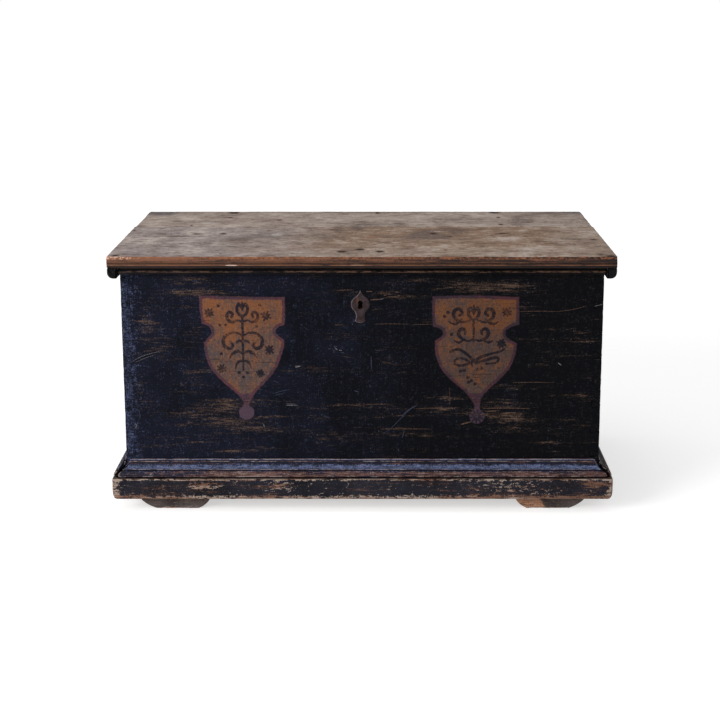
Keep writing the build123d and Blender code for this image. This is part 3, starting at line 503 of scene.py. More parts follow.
def painted_wood(name, paint, deep, bare, dark_wood, dust_and_highlight, turn=ALONG_X, rub=0.0, chips=0.0,
                 pale=(156, 138, 124), edge=1.0, film=0.8, bare_inside=(150, 118, 86), gloss=0.06,
                 soft=0.0, show=0.85, veil=0.28, decorate=None):
    """Old paint over pine. The mesh says where it is painted, worn, convex, hollow or dusty. Hollows are
    darkened as dirt and painted shade, the pale film is dust and a painted highlight, and tone darkens the
    paint as painted shade.
    """
    m = Shade(name)
    m.place = m.scaled((1, 1, 1), turn)
    broad = m.field((5, 62, 62), 2.0, 0.5)
    streak = m.field((13, 300, 300), 3.0, 0.65)
    dash = m.field((42, 430, 430), 2.0, 0.6)
    flake = m.field((70, 150, 150), 3.0, 0.65)
    fleck = m.field(380.0, 2.0, 0.6)
    cloud = m.field(10.0, 3.0, 0.6)
    brush = m.field((300, 300, 38), 2.0, 0.6)
    arris, hollow_dirt_and_shade, worn = m.attr("arris"), m.attr("hollow_dirt_and_shade"), m.attr("worn")
    rubbed = m.plus((worn, 0.68), (broad, 0.55), (streak, 0.46), (dash, 0.42), (fleck, 0.32), (cloud, 0.2),
                    rub)
    through = m.step(rubbed, 0.98 - soft, 1.22 + soft)
    thin = m.step(rubbed, 0.42, 1.1)
    # Where the mesh's tone is high the paint turns deeper: painted shade, where the light falls off
    coat = m.lay(deep, paint, 1, -1.0, 0.5, (cloud, 0.8), (m.attr("tone"), -1.2))
    aged = m.mix(m.attr("tone"), dust_and_highlight, [sum(dust_and_highlight) / 3 * 0.85] * 3)
    coat = m.lay(coat, aged, 0.5, 0.05, 0.9, (fleck, 0.7), (flake, 0.4), (brush, 0.4))
    coat = m.lay(coat, [c * 0.5 for c in deep], 0.5, 0.0, 0.7, (streak, 0.6), (brush, 0.5))
    if decorate:
        coat = decorate(m, coat, cloud, fleck, streak)
    # Tone also darkens the whole coat towards near black: more painted shade
    coat = m.mix(m.times(m.attr("tone"), 0.3), coat, (6, 6, 8))
    wood = m.lay(dark_wood, bare, 1, -0.5, 0.5, (dash, 0.6), (fleck, 0.5))
    wood = m.lay(wood, [min(255, c * 1.2) for c in bare], 0.5, 0.1, 0.7, cloud)
    colour = m.mix(m.times(thin, veil), coat, wood)
    colour = m.mix(m.times(through, show), colour, wood)
    # The pale film is dust, and also a painted highlight where the mesh lightens a face as if lit
    dust_and_highlight_share = m.plus((m.attr("dust_and_highlight"), 1.6), (cloud, 0.25), (flake, 0.50), (fleck, 0.60), (brush, 0.25))
    dust_and_highlight_share = m.times(m.step(dust_and_highlight_share, 0.45, 1.75), film)
    powder = m.lay([c * 0.78 for c in dust_and_highlight], [min(255, c * 1.5) for c in dust_and_highlight], 1, -0.45, 0.75, (fleck, 0.5),
                   (flake, 0.5), (brush, 0.3))
    colour = m.mix(dust_and_highlight_share, colour, powder)
    sharp = m.plus((arris, 1.2), (flake, 0.55), (dash, 0.50), (fleck, 0.30), (broad, 0.25))
    sharp = m.times(m.step(sharp, 0.78, 0.98), m.step(arris, 0.08, 0.22), edge)
    edge_colour = m.lay(bare, pale, 1, -0.12, 0.12, (cloud, 0.5), (dash, 0.6), (flake, 0.4))
    colour = m.mix(sharp, colour, edge_colour)
    chipped = m.plus((m.attr("chips"), 1.0), (flake, 0.75), (fleck, 0.45), (dash, 0.35), chips)
    chipped = m.step(chipped, 1.25, 1.38)
    chip_colour = m.lay(pale, bare, 1, -0.1, 0.2, (broad, 0.5), (streak, 0.5))
    colour = m.mix(m.times(chipped, 0.85), colour, chip_colour)
    # Hollows darkened almost to black: dirt there, and painted shade in grooves, coves and gaps
    colour = m.mix(m.times(hollow_dirt_and_shade, 0.92), colour, [c * 0.2 for c in deep])
    line = m.near(m.noise(m.scaled((2.0, 150, 150)), 1.0, 2.0, 0.5), 0.5, 0.012)
    crack = m.times(line, m.step(broad, 0.1, 0.5))
    colour = m.mix(m.times(crack, 0.7), colour, (10, 9, 9))
    spot = m.cells(74.0)
    dot = m.times(m.step(spot, 0.05, 0.14, 1.0, 0.0), m.step(m.plus((cloud, 0.5), (broad, 0.5)), 0.0, 0.5))
    colour = m.mix(m.times(dot, 0.30), colour, (142, 140, 142))
    inside = m.lay([c * 0.72 for c in bare_inside], bare_inside, 1, -0.5, 0.5, (dash, 0.5), (streak, 0.5))
    inside = m.lay(inside, [c * 0.6 for c in bare_inside], 0.4, -0.2, 0.6, (cloud, 0.6), (broad, 0.4))
    knot_ring = m.near(m.noise(m.scaled((0.8, 34, 34)), 1.0, 2.0, 0.5), 0.5, 0.02)
    inside = m.mix(m.times(knot_ring, 0.3), inside, [c * 0.5 for c in bare_inside])
    colour = m.mix(m.attr("paint"), inside, colour)
    rough = m.plus((m.math("MAXIMUM", through, sharp), 0.20), (fleck, 0.06), (dust_and_highlight_share, 0.15), 0.52)
    height = m.plus((streak, 0.14), (dash, 0.10), (fleck, 0.08), (brush, 0.05), (through, -0.25),
                    (crack, -1.2), (sharp, -0.25), (chipped, -0.3))
    return m.finish(colour, rough, height, 0.0007, strength=0.5, gloss=gloss)


def lid_wood(name):
    """Bare weathered pine: grey-brown outside, warmer where it is rubbed or kept from light."""
    m = Shade(name)
    parts = m.split()
    m.place = m.add("ShaderNodeCombineXYZ", {0: parts[0], 1: m.plus(parts[1], m.attr("bend")),
                                             2: parts[2]}).outputs[0]
    cloud = m.field((6, 8, 9), 4.0, 0.6)
    stain = m.field((3.4, 8, 7), 4.0, 0.62, shift=(3, 1, 0))
    patch = m.field((19, 17, 40), 4.0, 0.62)
    band = m.field((5, 48, 70), 3.0, 0.6)
    dash = m.field((30, 62, 130), 3.0, 0.6)
    speck = m.field((115, 34, 115), 3.0, 0.7)
    fibre = m.field((22, 460, 460), 3.0, 0.65)
    fleck = m.field(260.0, 3.0, 0.7)
    arris, front, old, knot = m.attr("arris"), m.attr("front"), m.attr("paint"), m.attr("knot")
    right = m.step(m.plus(parts[0], (cloud, 0.16)), -0.45, 0.12)
    thread = m.field((46, 125, 125), 3.0, 0.7)
    base = m.mix(right, (141, 129, 126), (144, 124, 109))
    base = m.lay(base, (151, 136, 126), 1, 0.078, 0.082, parts[1])
    brown = m.step(m.plus((stain, 0.6), (patch, 0.25), (thread, 0.15), (m.attr("brown"), 1.0)), 0.15, 1.2)
    base = m.mix(m.times(brown, 0.75), base, (130, 101, 77))
    base = m.lay(base, (98, 84, 79), 0.85, 0.0, 0.65, (cloud, 0.6), (patch, 0.4), (thread, 0.38))
    base = m.lay(base, (92, 72, 62), 0.75, 0.05, 0.7, (band, 0.6), (patch, 0.2), (thread, 0.45))
    base = m.lay(base, (190, 177, 167), 0.75, 0.05, -0.6, (patch, 0.35), (cloud, 0.45), (thread, 0.45))
    base = m.mix(m.times(m.attr("shade"), m.step(m.plus((cloud, 0.3), (thread, 0.4)), -1.1, 0.2), 0.85), base,
                 (76, 70, 74))
    grain = m.step(m.plus((dash, 0.5), (speck, 0.5), (fibre, 0.2)), 0.15, 0.75)
    base = m.mix(m.times(grain, 0.7), base, (82, 65, 57))
    base = m.lay(base, (178, 166, 156), 0.5, -0.2, -0.75, (speck, 0.6), (fleck, 0.4), (dash, 0.2))
    line = m.near(m.noise(m.scaled((1.1, 30, 46)), 1.0, 2.5, 0.55), 0.5, 0.012)
    crack = m.times(line, m.step(m.plus((cloud, 0.5), (dash, 0.4)), 0.0, 0.4))
    base = m.mix(m.times(crack, 0.75), base, (44, 34, 30))
    base = m.lay(base, (94, 70, 56), 0.75, 0.02, 0.45, knot, (patch, 0.12))
    base = m.lay(base, (38, 28, 26), 1, 0.40, 0.66, knot, (speck, 0.12))
    orange = m.step(m.plus(m.attr("warm"), (speck, 0.35), (dash, 0.3)), 0.5, 1.0)
    base = m.mix(m.times(orange, 0.7), base, (150, 104, 72))
    pale = m.step(m.plus((m.attr("pale"), 1.0), (speck, 0.4), (dash, 0.3)), 0.5, 0.95)
    base = m.mix(m.times(pale, 0.6), base, (188, 180, 175))
    lines = m.field((7, 200, 230), 3.0, 0.7)
    streaks = m.plus((lines, 0.8), (dash, 0.3), (fleck, 0.35), (patch, 0.35))
    face = m.plus(streaks, (parts[0], 0.62))
    rim = m.lay((122, 82, 63), (54, 40, 36), 1, -0.5, 0.3, face)
    rim = m.lay(rim, (33, 28, 29), 0.8, 0.1, 0.7, (cloud, 0.4), (patch, 0.5), (parts[0], 0.9))
    rim = m.lay(rim, (52, 40, 37), 0.55, TOP_Z - 0.008, TOP_Z - 0.015, parts[2])
    crumb = m.field((130, 200, 200), 3.0, 0.7)
    top_rub = m.step(m.plus((lines, 0.35), (patch, 0.45), (crumb, 0.55)), -0.12, 0.28)
    worn_down = m.plus(parts[2], (crumb, 0.0016), (patch, 0.0012))
    top_rub = m.times(m.step(worn_down, TOP_Z - 0.0075, TOP_Z - 0.0050), top_rub)
    warm = m.lay((134, 86, 60), (204, 162, 138), 1, 0.35, 1.0, (patch, 0.3), (crumb, 0.6),
                 (m.attr("chewed"), 0.6))
    rim = m.mix(m.times(top_rub, 0.9), rim, warm)
    end_grain = m.lay((100, 82, 72), (50, 40, 38), 1, -0.5, 0.5, streaks)
    rim = m.mix(m.times(m.attr("aged"), 0.85), rim, end_grain)
    bead = m.step(m.plus((arris, 1.0), (dash, 0.5), (patch, 0.3)), 0.55, 0.9)
    bead = m.times(bead, m.step(arris, 0.2, 0.5), m.step(parts[2], TOP_Z - 0.012, TOP_Z - 0.016))
    rim = m.mix(m.times(bead, 0.85), rim, m.lay((124, 82, 58), (150, 114, 94), 1, 0.2, 0.7, patch))
    # The edge's hollows are darkened: dirt and painted shade
    rim = m.mix(m.times(m.attr("hollow_dirt_and_shade"), 0.9), rim, (20, 16, 15))
    rim = m.lay(rim, (30, 25, 26), 0.9, RIM_Z + 0.0056, RIM_Z + 0.0046, parts[2])
    at_front = m.step(m.plus(front, (speck, 0.12), (dash, 0.12)), 0.36, 0.5)
    colour = m.mix(at_front, base, rim)
    colour = m.mix(m.times(m.attr("chip"), m.step(fleck, -0.5, 0.1)), colour, (214, 184, 168))
    clean = m.lay((160, 124, 88), (120, 86, 58), 1, -0.4, 0.5, (fibre, 0.4), (band, 0.5))
    clean = m.lay(clean, (96, 68, 46), 0.4, 0.0, 0.7, stain)
    colour = m.mix(old, clean, colour)
    rough = m.plus((fleck, 0.05), (grain, 0.10), 0.64)
    height = m.plus((fibre, 0.10), (band, 0.14), (dash, 0.14), (speck, 0.10), (crack, -1.6), (knot, -0.5))
    return m.finish(colour, rough, height, 0.0010, strength=0.6, gloss=0.12)


def iron(name, base=(30, 26, 28), rust=(78, 48, 34), metal=0.0, light=(60, 50, 52), gloss=0.12):
    """Old wrought iron. The mesh says where its rim is rubbed bright and where it is rusty; on the escutcheon
    the bright rim is also a painted highlight on its lit side.
    """
    m = Shade(name)
    cloud = m.field(70.0, 4.0, 0.6)
    fine = m.field(500.0, 3.0, 0.7)
    pits = m.cells(240.0)
    colour = m.lay(base, light, 1, -0.5, 0.5, (cloud, 0.6), (fine, 0.3))
    colour = m.lay(colour, rust, 0.7, 0.15, 0.7, (cloud, -0.6), (fine, 0.5))
    colour = m.mix(m.times(m.step(pits, 0.12, 0.3, 1.0, 0.0), 0.6), colour, (22, 18, 19))
    # Rubbed rim, brighter on the escutcheon's left, lit side: wear and a painted highlight
    rubbed = m.times(m.attr("rim"), m.step(m.plus((fine, 0.4), (cloud, 0.4)), -0.9, 0.4), 0.8)
    colour = m.mix(rubbed, colour, (116, 104, 112))
    rusty = m.times(m.attr("rust"), m.step(m.plus((fine, 0.5), (cloud, 0.4)), -0.6, 0.3))
    colour = m.mix(rusty, colour, (106, 66, 44))
    rough = m.plus((fine, 0.08), (cloud, 0.05), 0.6)
    height = m.plus((fine, 0.15), (pits, 0.5), (cloud, 0.1))
    return m.finish(colour, rough, height, 0.0004, metal=metal, strength=0.5, gloss=gloss)


FRONT = dict(paint=(19, 21, 33), deep=(9, 10, 15), bare=(100, 80, 68), dark_wood=(50, 40, 36),
             dust_and_highlight=(53, 58, 79), edge=0.75, gloss=0.04, soft=0.10, show=0.60, veil=0.42)
front_paint = painted_wood("front_paint", **FRONT)
back_paint = painted_wood("back_paint", bare_inside=(140, 117, 96), **FRONT)
end_paint = painted_wood("end_paint", turn=ALONG_Y, rub=0.05, **FRONT)


def shield_colours(m, coat, cloud, fleck, streak):
    """Orange ground with a red-violet border and dark strokes, all rubbed and dulled."""
    brush = m.field((230, 230, 60), 3.0, 0.65)
    patch = m.field((30, 30, 24), 3.0, 0.6)
    mottle = m.field(170.0, 3.0, 0.7)
    fine = m.field(420.0, 2.0, 0.7)
    high = m.step(m.split()[2], 0.36, 0.50)
    scratch = m.field((420, 420, 45), 3.0, 0.7)
    ground = m.lay((80, 68, 66), (125, 79, 50), 1, -0.3, 0.85, (patch, 0.5), (brush, 0.4), (mottle, 0.4),
                   (high, 0.45))
    ground = m.lay(ground, (142, 102, 82), 0.6, 0.0, 0.8, (scratch, 0.6), (mottle, 0.5), (fine, 0.2))
    ground = m.lay(ground, (48, 41, 45), 0.7, -0.05, -0.7, (mottle, 0.5), (fine, 0.5), (streak, 0.3))
    rim = m.plus(m.attr("rim"), (m.field(90.0, 3.0, 0.65), 1.7))
    border = m.lay((61, 45, 53), (88, 51, 55), 1, -0.5, 0.6, (patch, 0.7), (mottle, 0.5))
    border = m.lay(border, (80, 70, 85), 0.7, -0.1, 0.6, (mottle, 0.5), (fine, 0.6))
    border = m.lay(border, (36, 31, 40), 0.6, -0.1, -0.7, (fine, 0.6), (brush, 0.5))
    border = m.lay(border, (72, 62, 76), 0.65, 0.272, 0.254, m.split()[2])
    coat = m.lay(border, ground, 1, 6.0, 9.8, rim)
    coat = m.lay(coat, (22, 21, 28), 0.75, 2.0, 0.0, rim)
    coat = m.lay(coat, (36, 32, 38), 0.6, 0.15, 0.8, (streak, 0.6), (mottle, 0.4))
    ink = m.step(m.plus(m.attr("ink"), (m.field(300.0, 2.0, 0.6), 0.7)), -0.9, 0.8)
    kept = m.step(m.plus((patch, 0.5), (mottle, 0.6), (fine, 0.3)), 0.8, -0.25, 0.3, 0.93)
    return m.mix(m.times(ink, kept), coat, (22, 23, 32))


shield_paint = painted_wood("shield_paint", decorate=shield_colours, **FRONT)
PLINTH = dict(paint=(31, 34, 52), deep=(17, 18, 27), bare=(112, 82, 74), dark_wood=(64, 46, 44),
              dust_and_highlight=(86, 94, 123), rub=0.15, chips=0.30, pale=(150, 136, 132), film=0.95, edge=0.8,
              gloss=0.08)
plinth_paint = painted_wood("plinth_paint", **PLINTH)
plinth_side_paint = painted_wood("plinth_side_paint", turn=ALONG_Y, **PLINTH)
BASE = dict(paint=(36, 36, 44), deep=(17, 17, 22), bare=(122, 90, 74), dark_wood=(62, 46, 42),
            dust_and_highlight=(70, 68, 78), rub=0.16, chips=0.66, pale=(170, 151, 138), edge=0.9, gloss=0.06)
base_paint = painted_wood("base_paint", **BASE)
base_side_paint = painted_wood("base_side_paint", turn=ALONG_Y, **BASE)
trim_paint = painted_wood("trim_paint", paint=(30, 28, 31), deep=(14, 13, 14), bare=(82, 60, 50),
                          dark_wood=(50, 38, 34), dust_and_highlight=(48, 47, 54), pale=(98, 75, 62), edge=0.7, rub=-0.1)
batten_paint = painted_wood("batten_paint", turn=ALONG_Y, paint=(24, 24, 28), deep=(12, 12, 14),
                            bare=(78, 60, 48), dark_wood=(42, 34, 31), dust_and_highlight=(60, 60, 68),
                            pale=(120, 98, 84), edge=0.7, rub=-0.15)
foot_paint = painted_wood("foot_paint", paint=(98, 88, 85), deep=(52, 46, 45), bare=(206, 158, 130),
                          dark_wood=(158, 110, 82), dust_and_highlight=(108, 100, 98), rub=0.0, chips=0.25,
                          pale=(168, 150, 140), edge=0.5)
PINE = dict(paint=(120, 92, 66), deep=(90, 66, 46), bare=(140, 108, 78), dark_wood=(84, 60, 42),
            dust_and_highlight=(120, 104, 88), pale=(150, 124, 96))
inner_wood = painted_wood("inner_wood", **PINE)
inner_wood_side = painted_wood("inner_wood_side", turn=ALONG_Y, **PINE)
lid_pine = lid_wood("lid_pine")
plate_iron = iron("plate_iron", base=(30, 25, 28), light=(66, 53, 56), gloss=0.10)
hinge_iron = iron("hinge_iron", base=(34, 30, 29), rust=(84, 52, 36), gloss=0.2)
nail_iron = iron("nail_iron", base=(38, 30, 28), rust=(84, 54, 38))
lock_iron = iron("lock_iron", base=(60, 56, 55), rust=(88, 60, 44), metal=0.4, light=(100, 94, 90),
                 gloss=0.3)


def blob(points, x, z, width, height, axis=2):
    """1 at a place on a face, fading to 0 at the given half widths."""
    d = ((points[:, 0] - x) / width) ** 2 + ((points[:, axis] - z) / height) ** 2
    return np.exp(-1.2 * d)


# Where the front's paint is rubbed most: x, z, half width, half height, strength
WORN = [(-0.405, 0.552, 0.085, 0.030, 1.0), (-0.515, 0.478, 0.030, 0.040, 0.7),
        (-0.365, 0.245, 0.105, 0.040, 1.1), (-0.30, 0.205, 0.13, 0.022, 0.7),
        (0.235, 0.558, 0.12, 0.020, 0.9), (0.40, 0.50, 0.05, 0.04, 0.35),
        (0.345, 0.232, 0.10, 0.032, 0.8), (0.07, 0.525, 0.075, 0.045, 0.6),
        (-0.15, 0.262, 0.14, 0.012, 0.6), (0.10, 0.255, 0.20, 0.010, 0.5),
        (-0.12, 0.355, 0.05, 0.012, 0.4), (-0.47, 0.39, 0.05, 0.03, 0.5),
        (0.02, 0.20, 0.25, 0.02, 0.35),
        (-0.396, 0.351, 0.045, 0.016, 0.8), (-0.41, 0.320, 0.055, 0.013, 0.8),
        (-0.536, 0.305, 0.012, 0.030, 0.8), (-0.400, 0.441, 0.030, 0.020, 0.5),
        (-0.431, 0.512, 0.030, 0.005, 0.6), (-0.499, 0.527, 0.012, 0.010, 0.6),
        (-0.05, 0.548, 0.04, 0.016, 0.5), (0.32, 0.563, 0.09, 0.010, 0.5)]


def carcass_values(mesh):
    """Paint outside only, rubbed at the places above on the front, dusty at its left end, subdued pins. The
    pale film there is dust and a painted highlight, and tone darkens the front towards the right as painted
    shade.
    """
    points = positions(mesh)
    x, y, _ = points.T
    outside = (y < FRONT_Y + PAINT_DEPTH) | (np.abs(x) > END_X - PAINT_DEPTH)
    at_front = y < FRONT_Y + 0.0012
    worn = 0.06 + 0.25 * (noise(points, (0.24, 0.1, 0.05), 41, 2) - 0.5)
    for worn_x, z, width, height, strength in WORN:
        worn = worn + 1.1 * strength * blob(points, worn_x, z, width, height)
    # A pale film, heavy at the left end and fading across the left half: dust, and a painted highlight where
    # the light falls
    dust_and_highlight = 0.55 * smooth(0.055 - END_X, 0.008 - END_X, x) * (
        0.5 + noise(points, (0.03, 0.03, 0.09), 47, 2)) + 0.10 * smooth(0.0, -END_X, x)
    arris = get_values(mesh, "arris")
    at_pins = at_front * smooth(END_X - 0.03, END_X - 0.024, np.abs(x))
    worn = np.where(at_front, worn * (1 - at_pins * 0.6), 0.25)
    # Tone rises from left to right across the front, darkening its paint: painted shade
    set_values(mesh, {"paint": outside.astype(float), "worn": worn, "dust_and_highlight": at_front * dust_and_highlight, "chips": 0.0,
                      "tone": np.where(at_front, smooth(-0.35, 0.45, x), 0.45),
                      "arris": arris * (0.52 - 0.45 * at_pins - 0.30 * (y > BACK_Y - 0.03))})


edges_x = (-END_X + 0.0012, -END_X + 0.003, -END_X + 0.006, END_X - 0.006, END_X - 0.003, END_X - 0.0012)
mesh = board("front_board", (0.008, None, 0.0055), extra=(edges_x, (), ()), seed=11, chip=0.0007)
carcass_values(mesh)
front_piece = put("front_board_worn", mesh, front_paint, "chest", ["front_board"])


# Painted shields on the front
def flowing(points, per=6):
    """A smooth line through points."""
    p = np.array(points, float)
    ends = np.vstack([2 * p[0] - p[1], p, 2 * p[-1] - p[-2]])
    made = []
    for i in range(1, len(ends) - 2):
        a, b, c, d = ends[i - 1:i + 3]
        for t in np.linspace(0, 1, per, endpoint=False):
            made.append(0.5 * (2 * b + (c - a) * t + (2 * a - 5 * b + 4 * c - d) * t * t
                               + (3 * b - a - 3 * c + d) * t ** 3))
    made.append(p[-1])
    return np.array(made)


def to_line(points, line):
    """Distance from each point to a line, and how far along the line that is."""
    best = np.full(len(points), 1e9)
    place = np.zeros(len(points))
    for i in range(len(line) - 1):
        a, b = line[i], line[i + 1]
        run = b - a
        t = np.clip(((points - a) @ run) / max(run @ run, 1e-12), 0, 1)
        gap = np.linalg.norm(points - a - t[:, None] * run, axis=1)
        closer = gap < best
        best = np.where(closer, gap, best)
        place = np.where(closer, (i + t) / (len(line) - 1), place)
    return best, place


def inside(points, line):
    count = np.zeros(len(points), int)
    for i in range(len(line)):
        (x0, z0), (x1, z1) = line[i - 1], line[i]
        crosses = (z0 > points[:, 1]) != (z1 > points[:, 1])
        with np.errstate(divide="ignore", invalid="ignore"):
            x = x0 + (points[:, 1] - z0) * (x1 - x0) / (z1 - z0)
        count += crosses & (points[:, 0] < x)
    return count % 2 == 1


def shield_line(runs, ball, radius, start, end):
    """The outline: straight or flowing runs, then round the ball between two angles."""
    line = []
    for run in runs[0]:
        line += list(flowing(run))[:-1]
    line += [np.array(ball) + radius * np.array([math.cos(a), math.sin(a)])
             for a in np.linspace(start, end, 26)]
    for run in runs[1]:
        line += list(flowing(run))[:-1]
    dense = []
    for i in range(len(line)):
        a, b = np.array(line[i]), np.array(line[(i + 1) % len(line)])
        count = max(1, round(np.linalg.norm(b - a) / 2.0))
        dense += [a + (b - a) * j / count for j in range(count)]
    return np.array(dense) / 1000


def star(x, z, size, turn):
    rays = []
    for i in range(4):
        a = turn + i * math.pi / 4
        reach = size * (1.0 if i % 2 else 0.82)
        dx, dz = reach * math.cos(a), reach * math.sin(a)
        rays.append(([(x - dx, z - dz), (x, z), (x + dx, z + dz)], 1.6, 2.4, 1.6))
    return rays


def mirrored(middle, strokes):
    made = []
    for line, *widths in strokes:
        made.append(([(middle + x, z) for x, z in line], *widths))
        if any(abs(x) > 0.5 for x, _ in line):
            made.append(([(middle - x, z) for x, z in line], *widths))
    return made


def dots(middle, places, size=2.6):
    return [([(middle + x - 0.4, z), (middle + x + 0.4, z)], size, size, size) for x, z in places]


LEFT_SPRIG = mirrored(-286, [
    ([(0, 484), (-9, 490), (-13, 502), (-8, 515), (-3, 507), (0, 500)], 2.0, 3.0, 1.2),
    ([(0, 500), (0.1, 511), (0, 521)], 1.6, 2.8, 0.8),
    ([(0, 486), (0.1, 460), (0, 430), (0, 400), (0, 352)], 2.2, 2.4, 1.6),
    ([(0, 470), (-12, 474), (-24, 470), (-34, 475), (-37, 487), (-30, 495), (-23, 489), (-26, 482)], 1.4, 3.2,
     2.2),
    ([(0, 436), (-16, 444), (-34, 441), (-46, 428), (-44, 411), (-32, 405), (-24, 413), (-30, 421)], 1.4, 3.4,
     2.4),
    ([(0, 420), (-9, 424), (-17, 418)], 1.2, 2.8, 0.8),
    ([(0, 392), (-12, 398), (-25, 392), (-34, 379)], 1.4, 3.4, 0.8),
    ([(0, 372), (-8, 374), (-16, 366), (-19, 355)], 1.2, 2.8, 0.8)])
LEFT_SPRIG += dots(-286, [(-54, 463), (-57, 510), (42, 512), (-10, 345), (10, 345), (0, 334), (-52, 392),
                          (-40, 463), (34, 460)])
LEFT_SPRIG += star(-365, 493, 11, 0.2) + star(-230, 485, 12, 0.35) + star(-223, 402, 12, 0.1)
LEFT_SPRIG += star(-338, 355, 11, 0.3) + star(-245, 343, 9, 0.5)
RIGHT_SPRIG = mirrored(266, [
    ([(0, 474), (-8, 481), (-13, 492), (-9, 505), (-4, 498), (0, 490)], 2.0, 3.2, 1.2),
    ([(0, 490), (0.1, 502), (0, 513)], 1.6, 2.8, 0.8),
    ([(-8, 476), (-22, 470), (-38, 474), (-48, 486), (-45, 499), (-34, 502), (-28, 493), (-34, 486)], 1.4,
     3.4, 2.4),
    ([(-28, 478), (-38, 468), (-50, 466), (-60, 472)], 1.0, 2.6, 0.8),
    ([(0, 474), (0.1, 450), (0, 424)], 2.2, 2.4, 1.4),
    ([(0, 428), (-14, 424), (-28, 430), (-36, 442), (-30, 453), (-20, 450), (-20, 441)], 1.4, 3.4, 2.2),
    ([(-22, 426), (-36, 420), (-48, 426)], 1.0, 2.6, 0.8)])
RIGHT_SPRIG += dots(266, [(-62, 494), (-70, 484), (0, 462), (-52, 440), (-30, 349), (-21, 351), (12, 353),
                          (21, 356), (-12, 333), (-4, 325), (6, 317), (-10, 321)], 3.0)
RIGHT_SPRIG += [([(211, 397), (229, 403), (251, 391), (273, 371), (297, 377), (321, 383), (327, 377),
                  (319, 369), (297, 367)], 2.4, 2.8, 1.6),
                ([(221, 375), (223, 365), (241, 363), (263, 371), (283, 383), (305, 391), (329, 397),
                  (341, 404)], 2.0, 2.8, 1.6),
                ([(221, 375), (233, 381), (249, 377), (261, 367), (267, 359)], 1.6, 2.4, 1.0)]
RIGHT_SPRIG += star(345, 495, 12, 0.15) + star(333, 417, 11, 0.4)
ROSETTE = [([(277 + 4 * math.cos(a), 235 + 4 * math.sin(a)),
             (277 + 17 * math.cos(a), 235 + 17 * math.sin(a))],
            0.8, 1.8, 1.4) for a in np.linspace(0.2, 2 * math.pi + 0.2, 10, endpoint=False)]

LEFT_LINE = shield_line(
    ([[(-389, 536), (-287, 533), (-184, 532)], [(-184, 532), (-183, 497), (-185, 463)],
      [(-185, 463), (-197, 459), (-207, 448), (-200, 437), (-187, 427)],
      [(-187, 427), (-188, 408), (-204, 360), (-230, 324), (-256, 296), (-269, 274), (-273, 264)]],
     [[(-287, 264), (-292, 279), (-312, 300), (-339, 324), (-366, 357), (-378, 394), (-380, 420)],
      [(-380, 420), (-370, 432), (-361, 445), (-367, 459), (-384, 466)],
      [(-384, 466), (-388, 500), (-389, 536)]]), (-280, 245), 19, math.radians(68), math.radians(-248))
RIGHT_LINE = shield_line(
    ([[(167, 534), (270, 536), (374, 532)], [(374, 532), (375, 497), (376, 464)],
      [(376, 464), (358, 458), (344, 448), (346, 434), (371, 417)],
      [(371, 417), (368, 391), (355, 357), (332, 329), (305, 303), (288, 281), (284, 262)]],
     [[(270, 262), (264, 274), (243, 300), (215, 324), (188, 356), (175, 391), (173, 424)],
      [(173, 424), (184, 432), (193, 441), (186, 453), (168, 459)],
      [(168, 459), (166, 497), (167, 534)]]), (277, 235), 19, math.radians(66), math.radians(-246))


# Paint skins and marks: cell, gap to the rim, height above the face and depth below it
SKIN_CELL = 0.0019
SKIN_MARGIN = 0.0011
SKIN_LIFT, SKIN_DEPTH = 0.00022, 0.0008
MARK_LIFT, MARK_DEPTH = 0.00016, 0.0009


def front_tree():
    return bvhtree.BVHTree.FromObject(front_piece, bpy.context.evaluated_depsgraph_get())


def front_y_at(tree, x, z):
    hit = tree.ray_cast(Vector((x, FRONT_Y - 0.05, z)), Vector((0, 1, 0)))[0]
    return hit.y if hit else FRONT_Y


def shield(name, line, strokes):
    """A thin skin of paint on the front board. It knows how far its edge and its strokes are."""
    low, high = line.min(0), line.max(0)
    xs = np.arange(low[0], high[0], SKIN_CELL)
    zs = np.arange(low[1], high[1], SKIN_CELL)
    mesh_points = np.array([(x + 0.0006 * math.sin(z * 5e3), z) for z in zs for x in xs])
    closed = np.vstack([line, line[:1]])
    rim, _ = to_line(mesh_points, closed)
    mesh_points = mesh_points[(rim > SKIN_MARGIN) & inside(mesh_points, line)]
    flat = np.vstack([line, mesh_points])
    loop = [(i, (i + 1) % len(line)) for i in range(len(line))]
    made, _, faces = geometry.delaunay_2d_cdt([Vector(p) for p in flat], loop, [], 1, 1e-7)[:3]
    made = np.array([tuple(p) for p in made])
    rim, _ = to_line(made, closed)
    rim = np.minimum(rim, 0.0035 + 0.02 * smooth(0.288, 0.305, made[:, 1]))
    ink = np.full(len(made), -1.0)
    for path, first, middle, last in strokes:
        gap, place = to_line(made, flowing(path) / 1000)
        half = np.interp(place, (0, 0.5, 1), (first, middle, last)) / 1000
        ink = np.maximum(ink, half * 1.35 - gap)
    tree = front_tree()
    face_y = np.array([front_y_at(tree, x, z) for x, z in made])
    top = np.column_stack([made[:, 0], face_y - SKIN_LIFT, made[:, 1]])
    under = np.column_stack([made[:, 0], face_y + SKIN_DEPTH, made[:, 1]])
    count = len(made)
    polygons = [tuple(f) for f in faces] + [tuple(i + count for i in reversed(f)) for f in faces]
    edge_faces = {}
    for f in faces:
        for i in range(len(f)):
            key = tuple(sorted((f[i - 1], f[i])))
            edge_faces[key] = edge_faces.get(key, 0) + 1
    polygons += [(a, b, b + count, a + count) for (a, b), n in edge_faces.items() if n == 1]
    mesh = closed_mesh(name, np.vstack([top, under]).tolist(), polygons)
    carcass_values(mesh)
    set_values(mesh, {"paint": 1.0, "arris": 0.0, "hollow_dirt_and_shade": 0.0, "worn": get_values(mesh, "worn") * 0.5,
                      "rim": np.tile(rim, 2) * 1000, "ink": np.tile(ink, 2) * 1000})
    soften(mesh, 30)
    return put(name, mesh, shield_paint, "chest")


shield("shield_left", LEFT_LINE, LEFT_SPRIG)
shield("shield_right", RIGHT_LINE, RIGHT_SPRIG + ROSETTE)


